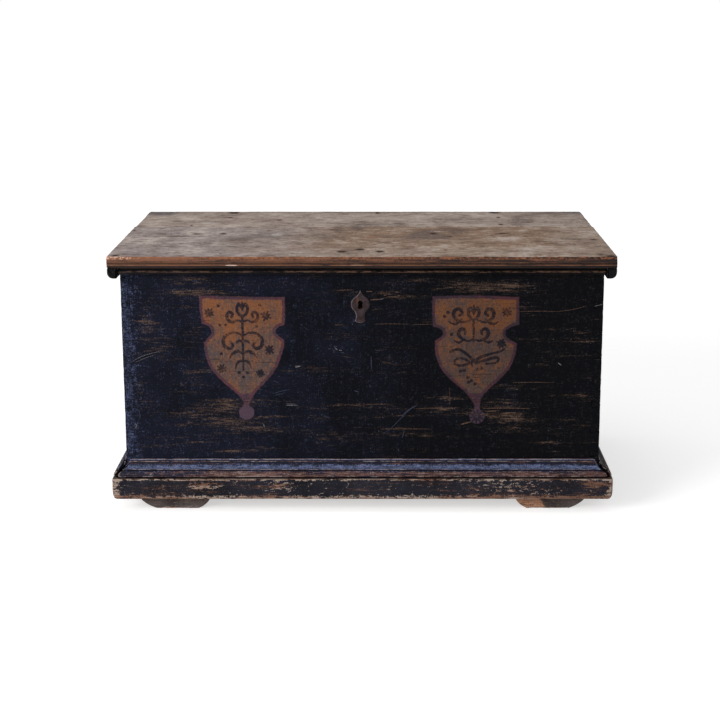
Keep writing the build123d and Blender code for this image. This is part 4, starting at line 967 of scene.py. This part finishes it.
def marks(name, strokes, material):
    """Thin slivers on the front board: x, z places along a line, then half its width, all in mm."""
    tree = front_tree()
    points, faces = [], []
    for line, half in strokes:
        path = (flowing(line, 5) if len(line) > 2 else np.linspace(line[0], line[1], 6)) / 1000
        along = np.gradient(path, axis=0)
        across = np.column_stack([-along[:, 1], along[:, 0]])
        across /= np.maximum(np.linalg.norm(across, axis=1, keepdims=True), 1e-9)
        count = len(path)
        width = half / 1250 * np.sin(np.linspace(0.12, 0.93, count) * math.pi) ** 0.6
        start = len(points)
        for side, lift in ((1, -MARK_LIFT), (-1, -MARK_LIFT), (-1, MARK_DEPTH), (1, MARK_DEPTH)):
            for x, z in path + across * (side * width)[:, None]:
                points.append((x, front_y_at(tree, x, z) + lift, z))
        for ring in range(4):
            a, b = start + ring * count, start + (ring + 1) % 4 * count
            faces += [(a + i, a + i + 1, b + i + 1, b + i) for i in range(count - 1)]
        faces += [tuple(start + ring * count for ring in range(4)),
                  tuple(start + ring * count + count - 1 for ring in (3, 2, 1, 0))]
    mesh = closed_mesh(name, points, faces)
    soften(mesh, 40)
    put(name, mesh, material, "chest")


def plain(name, dark, light):
    m = Shade(name)
    fine = m.field(420.0, 3.0, 0.7)
    colour = m.lay(dark, light, 1, -0.5, 0.5, fine)
    return m.finish(colour, 0.75, fine, 0.0002, strength=0.4, gloss=0.05)


marks("marks_pale", [
    ([(-553, 372), (-528, 386), (-487, 398)], 0.6), ([(-544, 371), (-519, 382), (-496, 390)], 0.4),
    ([(-161, 359), (-149, 361)], 2.0), ([(-185, 263), (-155, 263)], 0.9), ([(-184, 266.5), (-160, 266)], 0.6),
    ([(-240, 215), (-237, 207)], 0.9), ([(-552, 217), (-547, 212), (-553, 203)], 0.9),
    ([(40, 526), (51, 527.5)], 1.0), ([(470, 369), (479, 363)], 1.6), ([(320, 334), (329, 325)], 1.1),
    ([(553, 509), (574, 514)], 0.7),
    ([(-66, 407), (-60, 402)], 1.3), ([(-56, 401), (-49, 400)], 1.1), ([(-571, 452), (-569, 444)], 1.2)],
      plain("mark_pale", (70, 68, 73), (124, 121, 122)))
marks("marks_blue", [
    ([(-216, 292), (-195, 299), (-175, 303)], 0.9), ([(-212, 288), (-190, 294)], 0.7),
    ([(-45, 524), (-42, 520), (-46, 516)], 0.9),
    ([(132, 264), (112, 250), (89, 226), (70, 206), (53, 193)], 1.0),
    ([(126, 262), (104, 246), (96, 236)], 0.9),
    ([(102, 203), (96, 179)], 0.9), ([(21, 386), (21.5, 353)], 1.3), ([(-70, 411), (-58, 409)], 1.2),
    ([(-72, 404), (-66, 398)], 1.1), ([(-52, 395), (-44, 394)], 1.0), ([(-412, 250), (-404, 247)], 1.5),
    ([(-330, 192), (-327, 190)], 1.4), ([(-560, 330), (-559, 300), (-561, 280)], 1.0),
    ([(-566, 500), (-565, 470)], 1.2), ([(-568, 420), (-567, 385)], 1.0), ([(-20, 300), (-8, 296)], 1.1),
    ([(-95, 236), (-80, 232)], 1.0), ([(-540, 250), (-538, 228)], 0.9)],
      plain("mark_blue", (36, 38, 52), (66, 69, 88)))
marks("marks_brown", [
    ([(20, 524.5), (42, 526)], 1.8), ([(373, 496), (420, 497), (467, 496)], 0.7),
    ([(467, 496), (502, 501), (535, 510)], 0.6),
    ([(210, 307), (211, 285), (211, 264)], 0.6), ([(292, 255), (350, 256), (405, 255)], 1.0),
    ([(129, 255), (180, 256), (233, 257)], 0.7), ([(363, 320), (410, 321), (462, 320)], 0.7),
    ([(44, 203), (100, 203.5), (166, 203)], 0.9), ([(238, 215), (265, 222)], 1.8),
    ([(30, 465), (70, 466), (112, 465)], 0.6), ([(120, 464), (169, 465)], 0.6),
    ([(52, 536), (56, 536)], 1.6), ([(62, 539), (66, 539)], 1.3), ([(78, 544), (88, 543)], 1.4),
    ([(83, 536), (91, 535)], 1.2), ([(60, 532), (80, 533)], 0.8), ([(-60, 548), (-20, 549)], 0.8),
    ([(10, 545), (24, 545)], 1.5), ([(296, 248), (330, 249)], 1.2), ([(340, 244), (372, 245)], 1.4)],
      plain("mark_brown", (50, 38, 34), (112, 86, 70)))
# Near-black slivers stand in for the shade inside the old nail holes: painted shadow
marks("old_nail_holes", [([(-50.5, 521), (-45.5, 521)], 3.0), ([(34, 530.5), (39, 530.5)], 2.6)],
      plain("painted_hole_shadow", (4, 4, 5), (8, 7, 8)))

for side in ("left", "right"):
    node = side + "_end_board"
    mesh = board(node, (None, 0.012, 0.010), seed=21 if side == "left" else 22, chip=0.0006)
    carcass_values(mesh)
    put(node + "_worn", mesh, end_paint, "chest", [node])
for node in ("back_board_lower", "back_board_upper"):
    mesh = board(node, (0.024, None, 0.012), seed=25, chip=0.0006)
    at_sides = np.abs(positions(mesh)[:, 0]) > END_X - PAINT_DEPTH
    set_values(mesh, {"paint": at_sides, "worn": 0.25, "dust_and_highlight": 0.0, "tone": 0.45, "arris": 0.12})
    put(node + "_worn", mesh, back_paint, "chest", [node])
for members, steps, seed, material in (
        (("bottom_board_1", "bottom_board_2", "bottom_board_3"), (0.03, 0.02, None), 27, inner_wood),
        (("till_side", "till_bottom"), (0.02, 0.02, 0.012), 28, inner_wood_side)):
    for node in members:
        mesh = board(node, steps, seed=seed)
        set_values(mesh, {"paint": 0.0, "worn": 0.3, "dust_and_highlight": 0.0})
        put(node + "_worn", mesh, material, "chest", [node])


# Lid: knots as x, y, half length, half width and depth of colour, then pale and orange marks
KNOTS = [(-0.361, 0.298, 0.016, 0.022, 1.0), (-0.363, 0.218, 0.007, 0.012, 0.9),
         (-0.453, 0.096, 0.005, 0.010, 0.9),
         (-0.426, -0.024, 0.013, 0.013, 0.75), (-0.357, -0.020, 0.011, 0.014, 0.95),
         (-0.228, 0.179, 0.008, 0.016, 0.7), (-0.243, 0.020, 0.009, 0.014, 0.6),
         (-0.581, -0.303, 0.010, 0.010, 1.1), (-0.049, -0.256, 0.013, 0.015, 1.1),
         (-0.006, -0.230, 0.012, 0.014, 1.1), (0.042, -0.256, 0.012, 0.014, 1.1),
         (0.035, 0.295, 0.008, 0.018, 0.9), (0.358, 0.301, 0.018, 0.018, 1.0),
         (0.363, 0.223, 0.008, 0.012, 0.9), (0.361, 0.114, 0.008, 0.012, 0.9),
         (0.178, -0.020, 0.013, 0.022, 0.9), (0.217, -0.060, 0.012, 0.014, 0.7),
         (0.354, -0.018, 0.018, 0.010, 0.95), (0.200, -0.236, 0.006, 0.010, 0.7),
         (0.575, -0.100, 0.015, 0.012, 0.8), (0.585, -0.312, 0.014, 0.012, 1.1),
         (0.563, -0.295, 0.006, 0.008, 1.0), (-0.591, 0.024, 0.005, 0.010, 0.8),
         (0.101, -0.187, 0.006, 0.008, 0.6), (-0.268, 0.259, 0.016, 0.010, 0.55),
         (-0.498, 0.163, 0.018, 0.012, 0.5), (-0.297, 0.070, 0.030, 0.006, 0.55)]
PALE = [(-0.219, -0.035, 0.024, 0.036), (0.190, 0.012, 0.034, 0.012), (-0.190, -0.202, 0.026, 0.008),
        (-0.42, 0.13, 0.05, 0.012), (0.09, 0.19, 0.04, 0.012)]
WARM = [(0.334, -0.144, 0.007, 0.010), (0.163, 0.044, 0.020, 0.008), (0.019, -0.066, 0.030, 0.010)]


def rounded(a, b, a_edge, b_edge, radius):
    """Two outward measures of points, worn back to a radius where both come near their edges."""
    u, v = a - (a_edge - radius), b - (b_edge - radius)
    gap = np.hypot(u, v)
    pull = np.where((u > 0) & (v > 0) & (gap > radius), radius / np.maximum(gap, 1e-9), 1.0)
    worn_a = np.where(pull < 1, a_edge - radius + u * pull, a)
    worn_b = np.where(pull < 1, b_edge - radius + v * pull, b)
    return worn_a, worn_b


def round_corner(points, x, y, radius):
    """Wear the upright corners at plus and minus x and at y back to a radius."""
    side = 1 if y > 0 else -1
    a, b = rounded(np.abs(points[:, 0]), side * points[:, 1], x, side * y, radius)
    return np.column_stack([np.sign(points[:, 0]) * a, side * b, points[:, 2]])


def lid_values(mesh):
    points = positions(mesh)
    radius = 0.002 + 0.005 * noise(points, (0.01, 0.01, 0.009), 71, 2)
    radius += 0.004 * smooth(TOP_Z - 0.006, TOP_Z, points[:, 2])
    points = round_corner(points, LID_X, LID_FRONT_Y, radius)
    points = round_corner(points, LID_X, LID_BACK_Y, radius + 0.007 * (points[:, 0] < 0))
    move_to(mesh, points)
    facing = normals(mesh)
    x, y, z = points.T
    bend = 0.010 * (noise(points, (0.42, 0.16, 0.5), 61, 2) - 0.5)
    knot = np.zeros(len(points))
    on_top = smooth(TOP_Z - 0.004, TOP_Z - 0.001, z)
    for knot_x, knot_y, wide, deep, dark in KNOTS:
        dx, dy = x - knot_x, y - knot_y
        gap = np.sqrt((dx / (wide * 1.35)) ** 2 + (dy / (deep * 1.35)) ** 2)
        knot = np.maximum(knot, dark * (1 - gap))
        reach = np.exp(-(dx / (wide * 3.2)) ** 2 - np.abs(dy) / (deep * 2.2))
        bend += np.sign(dy + 1e-9) * -0.5 * deep * reach
    pale, warm = (np.max([blob(points, *spot, 1) for spot in spots], axis=0) for spots in (PALE, WARM))
    brown = smooth(-0.24, -0.03, x) * smooth(0.56, 0.40, x) * smooth(-0.29, -0.17, y) * (y < LID_JOINT_Y)
    shade = 2.0 * blob(points, -0.565, 0.290, 0.045, 0.036, 1) + 0.8 * smooth(
        LID_BACK_Y - 0.016, LID_BACK_Y - 0.003, y) + blob(points, 0.575, 0.300, 0.030, 0.030, 1)
    shade += 0.6 * blob(points, -0.24, -0.045, 0.06, 0.05, 1) + 0.6 * blob(points, 0.16, -0.03, 0.05, 0.05, 1)
    front = smooth(LID_FRONT_Y + 0.0062, LID_FRONT_Y + 0.0032, y) * smooth(0.97, 0.80, facing[:, 2])
    ends = smooth(LID_X - 0.004, LID_X - 0.0012, np.abs(x)) * smooth(0.95, 0.7, facing[:, 2])
    aged = smooth(LID_X - 0.006, LID_X - 0.003, np.abs(x))
    aged = aged * smooth(LID_FRONT_Y + 0.008, LID_FRONT_Y + 0.05, y)
    chip = blob(points, -0.306, RIM_Z + 0.0078, 0.022, 0.0019) * (y < LID_FRONT_Y + 0.004)
    below = smooth(RIM_Z + 0.002, RIM_Z + 0.0005, z)
    inner = below * (np.abs(x) < END_X) * (y > FRONT_Y) * (y < BACK_Y)
    set_values(mesh, {"bend": bend, "knot": knot * on_top, "pale": pale * on_top, "warm": warm * on_top,
                      "front": np.maximum(front, ends), "chip": smooth(0.5, 0.7, chip), "paint": 1 - inner,
                      "brown": 1.1 * brown, "aged": aged, "shade": np.clip(shade, 0, 1),
                      "chewed": smooth(0.10 - LID_X, 0.02 - LID_X, x) * (y < LID_FRONT_Y + 0.03)})
    move_to(mesh, points - np.array([0, 0, 1]) * (on_top * 0.0006 * smooth(0.2, 0.8, knot))[:, None])


def both(value):
    return lambda points: np.full(len(points), value)


mesh = sweep("lid_front_board", 0, 0.2, both(-LID_X), both(LID_X), step=0.0042, coarse=0.0048, seed=31,
             rub=(0.10, 1.1), swell=0.0008, end_round=0.0018)
lid_values(mesh)
put("lid_front_board_worn", mesh, lid_pine, "lid", ["lid_front_board"])
mesh = sweep("lid_back_board", 0, 0.2, both(0.002 - LID_X), both(LID_X - 0.001), step=0.0045, coarse=0.0055,
             seed=37, rub=(0.10, 0.6), swell=0.0004, end_round=0.0030)
lid_values(mesh)
put("lid_back_board_worn", mesh, lid_pine, "lid", ["lid_back_board"])
low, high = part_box("lid_front_strip")
mesh = sweep("lid_front_strip", 0, 0.22, both(low.x), both(high.x), step=0.006, fine=0.0008, coarse=0.003,
             reach=0.0018, seed=33)
# Tone darkens the strip towards the right: painted shade
set_values(mesh, {"paint": 1.0, "worn": 0.2, "dust_and_highlight": 0.0, "tone": smooth(-0.4, 0.3, positions(mesh)[:, 0])})
put("lid_front_strip_worn", mesh, trim_paint, "lid", ["lid_front_strip"])
for side in ("left", "right"):
    node = "lid_end_batten_" + side
    low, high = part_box(node)
    mesh = sweep(node, 1, 0.06, both(low.y), both(high.y), step=0.006, fine=0.001, coarse=0.004,
                 seed=34 if side == "left" else 35, end_round=0.003, end_wear=0.3)
    set_values(mesh, {"paint": 1.0, "worn": 0.1, "dust_and_highlight": 0.1, "tone": 0.5})
    put(node + "_worn", mesh, batten_paint, "lid", [node])


# Plinth
def mitred(shift, outward):
    return lambda points: -(END_X + (FRONT_Y - points[:, 0])) * outward + shift * outward


def side_mitre(sign, gap):
    return lambda points: FRONT_Y - (sign * points[:, 0] - END_X) + gap


def plinth_values(mesh, kind):
    """Rounded worn corners, dust on what faces up, and chips and bare wood where the plinth is knocked. Dark
    lines where it meets other parts are painted shadow, the film in the cove and on the top fillet is also a
    painted highlight, and the right end is painted shade.
    """
    points = positions(mesh)
    low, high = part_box(kind + "_front")
    radius = 0.002 + 0.003 * noise(points, (0.01, 0.01, 0.009), 73, 2)
    corner = 0.006 * smooth(0.056, 0.036, points[:, 2])
    points = round_corner(points, high.x, low.y, radius + corner)
    if kind == "plinth_board":
        out, down = rounded(np.abs(points[:, 0]), -points[:, 2], high.x, -low.z, 0.012 + radius)
        points = np.column_stack([np.sign(points[:, 0]) * out, points[:, 1], -down])
    move_to(mesh, points)
    up = smooth(0.2, 0.85, normals(mesh)[:, 2])
    rubbed = 0.3 + 0.5 * smooth(0.5, 0.75, noise(points, (0.05, 0.05, 0.02), 51, 2))
    x, y, z = points.T
    if kind == "plinth_board":
        front = y < FRONT_Y
        bare = 1.9 * blob(points, 0.565, 0.071, 0.034, 0.012) * front + 1.0 * smooth(0.052, 0.037, z)
        flakes = 1.1 * blob(points, -0.385, 0.069, 0.038, 0.010)
        flakes += 0.8 * blob(points, -0.20, 0.070, 0.04, 0.012)
        flakes += 0.45 * blob(points, 0.36, 0.063, 0.12, 0.02)
        flakes = front * flakes + 0.85 * smooth(0.050, 0.038, z)
        flakes += 0.8 * smooth(high.x - 0.026, high.x - 0.004, np.abs(x)) * front
        below_top = high.z - z
        flakes += 0.65 * smooth(0.0070, 0.0045, below_top) * smooth(0.0012, 0.0026, below_top) * front
        # A dark line along the top, under the moulding: painted shadow
        painted_shadow_line = smooth(high.z - 0.0022, high.z - 0.0006, z) * 0.9
        set_values(mesh, {"paint": 1.0, "worn": 0.2 + bare, "dust_and_highlight": 0.25 * up, "chips": flakes,
                          "hollow_dirt_and_shade": painted_shadow_line})
        return
    low_cove = smooth(COVE_TOP_Z - 0.003, COVE_TOP_Z - 0.009, z)
    torus = smooth(STEP_Z, STEP_Z - 0.003, z)
    torus_side = torus * smooth(BACK_Y, FRONT_Y + 0.03, y) * (x < END_X + 0.004)
    patches = 0.35 + 1.0 * noise(points, (0.06, 0.05, 0.05), 57, 3)
    # The pale film low in the cove and on the top fillet: dust, and a painted highlight where light catches
    # them
    dust_and_highlight = up * (0.25 + 0.95 * low_cove * patches * smooth(STEP_Z - 0.001, STEP_Z + 0.001, z))
    dust_and_highlight += 1.3 * patches * smooth(high.z - 0.0045, high.z - 0.003, z)
    # The right end is painted darker and its film thinner: painted shade; the film is thinner on the left
    # side moulding too
    shaded = smooth(END_X - 0.004, END_X + 0.008, x)
    at_left = smooth(END_X + 0.002, END_X + 0.010, -x) * (y > FRONT_Y + 0.015)
    dust_and_highlight *= 1 - 0.85 * shaded - 0.6 * at_left
    at_mitre = smooth(high.x - 0.034, high.x - 0.008, np.abs(x)) * torus_side
    chips = 0.5 * torus + 0.55 * smooth(high.z - 0.006, high.z - 0.004, z) + 0.7 * at_mitre
    # A dark line along the bottom of the moulding, above the plinth board: painted shadow
    hollow_dirt_and_shade = get_values(mesh, "hollow_dirt_and_shade")
    set_values(mesh, {"paint": 1.0, "worn": rubbed + 0.95 * torus * (1 - at_left), "dust_and_highlight": dust_and_highlight,
                      "tone": shaded, "chips": chips,
                      "hollow_dirt_and_shade": np.maximum(hollow_dirt_and_shade, smooth(low.z + 0.0036, low.z + 0.0022, z))})


for kind, material, side_material, gap, fine, rub in (
        ("plinth_board", base_paint, base_side_paint, 0.0, 0.0014, (0.1, 0.45)),
        ("plinth_moulding", plinth_paint, plinth_side_paint, 0.0125, 0.0009, (0.15, 0.7))):
    mesh = sweep(kind + "_front", 0, 0.2, mitred(gap, 1), mitred(gap, -1), step=0.005, fine=fine,
                 coarse=0.004, seed=43, rub=rub, end_round=0.0025)
    plinth_values(mesh, kind)
    put(kind + "_front_worn", mesh, material, "chest", [kind + "_front"])
    for side, sign in (("left", -1), ("right", 1)):
        node = kind + "_" + side
        start = side_mitre(sign, gap * 0.15)
        # The side mouldings' ends at the mitre are darkened: painted shade in the gap
        mesh = sweep(node, 1, 0.03, start, both(PLINTH_BACK_Y), step=0.006, fine=fine, coarse=0.004,
                     seed=45 + sign, rub=rub, end_round=0.0035, end_painted_shade=1.0 if gap else 0.0)
        plinth_values(mesh, kind)
        put(node + "_worn", mesh, side_material, "chest", [node])

# Feet
for row in ("front", "rear"):
    for side in ("left", "right"):
        node = "foot_%s_%s" % (row, side)
        mesh = board(node, (0.005, 0.006, 0.005), bevel=0.0012, swell=0.0006, seed=53, chip=0.0010)
        points = positions(mesh)
        low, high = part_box(node)
        worn = 0.35 * np.ones(len(points))
        if node == "foot_front_right":
            worn += 2.0 * smooth(0.0, 0.010, (low.x + 0.056 + 0.75 * (high.z - points[:, 2])) - points[:, 0])
        points[:, 2] = np.where(points[:, 2] < 0.0005, 0.0, points[:, 2])
        move_to(mesh, points)
        chips = 0.7 * smooth(0.012, 0.001, points[:, 2])
        set_values(mesh, {"paint": 1.0, "worn": worn, "dust_and_highlight": 0.2, "chips": chips})
        put(node + "_worn", mesh, foot_paint, "chest", [node])

# Iron
KEYHOLE = np.array([-0.0045, 0.5175])
KEYHOLE_REACH = 0.0185


def chamfered(mesh, width=0.0030, depth=0.0012):
    """The escutcheon's face filed down to a bevel along its outline, with a bright rim and rust. The rim is
    rubbed and painted brighter on its left, lit side.
    """
    points, facing = positions(mesh), normals(mesh)
    flat = points[:, (0, 2)]
    sides = np.nonzero((np.abs(facing[:, 1]) < 0.5)
                       & (np.hypot(*(flat - KEYHOLE - [0, -0.005]).T) > KEYHOLE_REACH * 0.75))[0]
    tree = kdtree.KDTree(len(sides))
    for i, index in enumerate(sides):
        tree.insert((flat[index, 0], 0, flat[index, 1]), i)
    tree.balance()
    away = np.array([tree.find((x, 0, z))[2] for x, z in flat])
    low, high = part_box("escutcheon")
    face = smooth(high.y - 0.0004, low.y + 0.0004, points[:, 1])
    points[:, 1] += depth * face * smooth(width, 0.0, away)
    move_to(mesh, points)
    near_key = 0.8 * blob(points, KEYHOLE[0] - 0.0065, KEYHOLE[1] + 0.004, 0.004, 0.008)
    # The rim is brighter on the left, lit side: a painted highlight
    lit = smooth(KEYHOLE[0] + 0.012, KEYHOLE[0] - 0.006, points[:, 0])
    set_values(mesh, {"rim": smooth(0.0022, 0.0006, away) * (0.15 + 0.85 * lit), "rust": near_key})
    soften(mesh, 60)
    return mesh


VOXELS = {"hinge_strap": 0.0011, "hinge_leaf": 0.0009, "lid_hasp": 0.0008, "handle_bail": 0.0010,
          "handle_staples": 0.0009, "handle_plates": 0.0007, "lock_plate": 0.0012, "lock_case": 0.0010}
for kind, voxel in VOXELS.items():
    material = lock_iron if kind.startswith("lock") else hinge_iron
    for node in [kind] if kind in nodes else [kind + "_left", kind + "_right"]:
        put(node + "_forged", forged(node, voxel), material, BODY_OF[node], [node])
put("escutcheon_forged", chamfered(forged("escutcheon", 0.00055)), plate_iron, "chest",
    ["escutcheon"])

KEPT = {"lock_bolt": lock_iron, "lock_bolt_guides": lock_iron, "lock_spring": lock_iron,
        "lock_key_post": lock_iron, "hinge_pin_left": hinge_iron, "hinge_pin_right": hinge_iron,
        "lid_dowels": inner_wood_side, "foot_pegs": inner_wood_side}
for name in sorted(nodes):
    if name in KEPT or name.endswith(("_nails", "_brads")):
        node = nodes[name]
        node.data.materials.clear()
        node.data.materials.append(KEPT.get(name, nail_iron))
        ease = node.modifiers.new("ease", "BEVEL")
        ease.width = 0.0003
        ease.segments = 2
        ease.limit_method = "ANGLE"

# Room and light: a pale floor that keeps the chest's shadow and fades to white all round
bpy.ops.mesh.primitive_plane_add(size=60, location=(0, 0, 0))
floor = bpy.context.object
floor.name = "floor"
ground = bpy.data.materials.new("floor_white")
ground.use_nodes = True
tree = ground.node_tree
tree.nodes.clear()
spot = wire(tree, "ShaderNodeTexCoord").outputs["Object"]
away = wire(tree, "ShaderNodeVectorMath", {0: spot}, operation="LENGTH").outputs["Value"]
fade = wire(tree, "ShaderNodeMapRange", {"Value": away, "From Min": 1.0, "From Max": 4.0},
            interpolation_type="SMOOTHSTEP").outputs["Result"]
tone = wire(tree, "ShaderNodeMix", {0: fade, 6: (0.7, 0.7, 0.7, 1), 7: (0.25, 0.25, 0.25, 1)},
            data_type="RGBA").outputs[2]
matte = wire(tree, "ShaderNodeBsdfDiffuse", {"Color": tone}).outputs[0]
ray = wire(tree, "ShaderNodeLightPath").outputs
seen = wire(tree, "ShaderNodeMath", {0: ray["Is Camera Ray"], 1: ray["Is Glossy Ray"]},
            operation="MAXIMUM").outputs[0]
lift = wire(tree, "ShaderNodeMapRange", {"Value": fade, "To Min": 0.56, "To Max": 1.0}).outputs["Result"]
share = wire(tree, "ShaderNodeMath", {0: seen, 1: lift}, operation="MULTIPLY").outputs[0]
glow = wire(tree, "ShaderNodeEmission", {"Strength": share}).outputs[0]
both_parts = wire(tree, "ShaderNodeAddShader", {0: matte, 1: glow}).outputs[0]
wire(tree, "ShaderNodeOutputMaterial", {"Surface": both_parts})
floor.data.materials.append(ground)

scene.world = bpy.data.worlds.new("studio")
scene.world.use_nodes = True
tree = scene.world.node_tree
back = tree.nodes["Background"]
back.inputs["Color"].default_value = (1, 1, 1, 1)
ray = wire(tree, "ShaderNodeLightPath").outputs
seen = wire(tree, "ShaderNodeMath", {0: ray["Is Camera Ray"], 1: ray["Is Transmission Ray"]},
            operation="MAXIMUM").outputs[0]
level = wire(tree, "ShaderNodeMapRange", {"Value": seen, "To Min": 0.42, "To Max": 1.0}).outputs["Result"]
tree.links.new(level, back.inputs["Strength"])


def lamp(name, place, aim, size, watts):
    data = bpy.data.lights.new(name, "AREA")
    data.shape = "RECTANGLE"
    data.size, data.size_y = size
    data.energy = watts
    made = bpy.data.objects.new(name, data)
    scene.collection.objects.link(made)
    made.location = place
    made.rotation_euler = (Vector(aim) - Vector(place)).to_track_quat("-Z", "Y").to_euler()


lamp("window_left", (-3.3, -2.9, 2.0), (-0.1, 0, 0.35), (2.2, 1.8), 165)
lamp("overhead", (-0.6, -0.2, 3.4), (0, 0, 0.4), (2.8, 2.2), 28)
lamp("fill_right", (3.2, -2.6, 1.6), (0, 0, 0.3), (2.0, 2.0), 10)

camera_data = bpy.data.cameras.new("camera")
camera = bpy.data.objects.new("camera", camera_data)
scene.collection.objects.link(camera)
camera_data.sensor_width = 36
camera_data.lens = 71.45
camera_data.shift_x = -0.0297
camera_data.shift_y = -0.1358
camera.location = (0.0457, -3.6015, 1.295)
camera.rotation_euler = (math.radians(90 - 11.58), 0, 0)
scene.camera = camera
scene.view_settings.view_transform = "Standard"
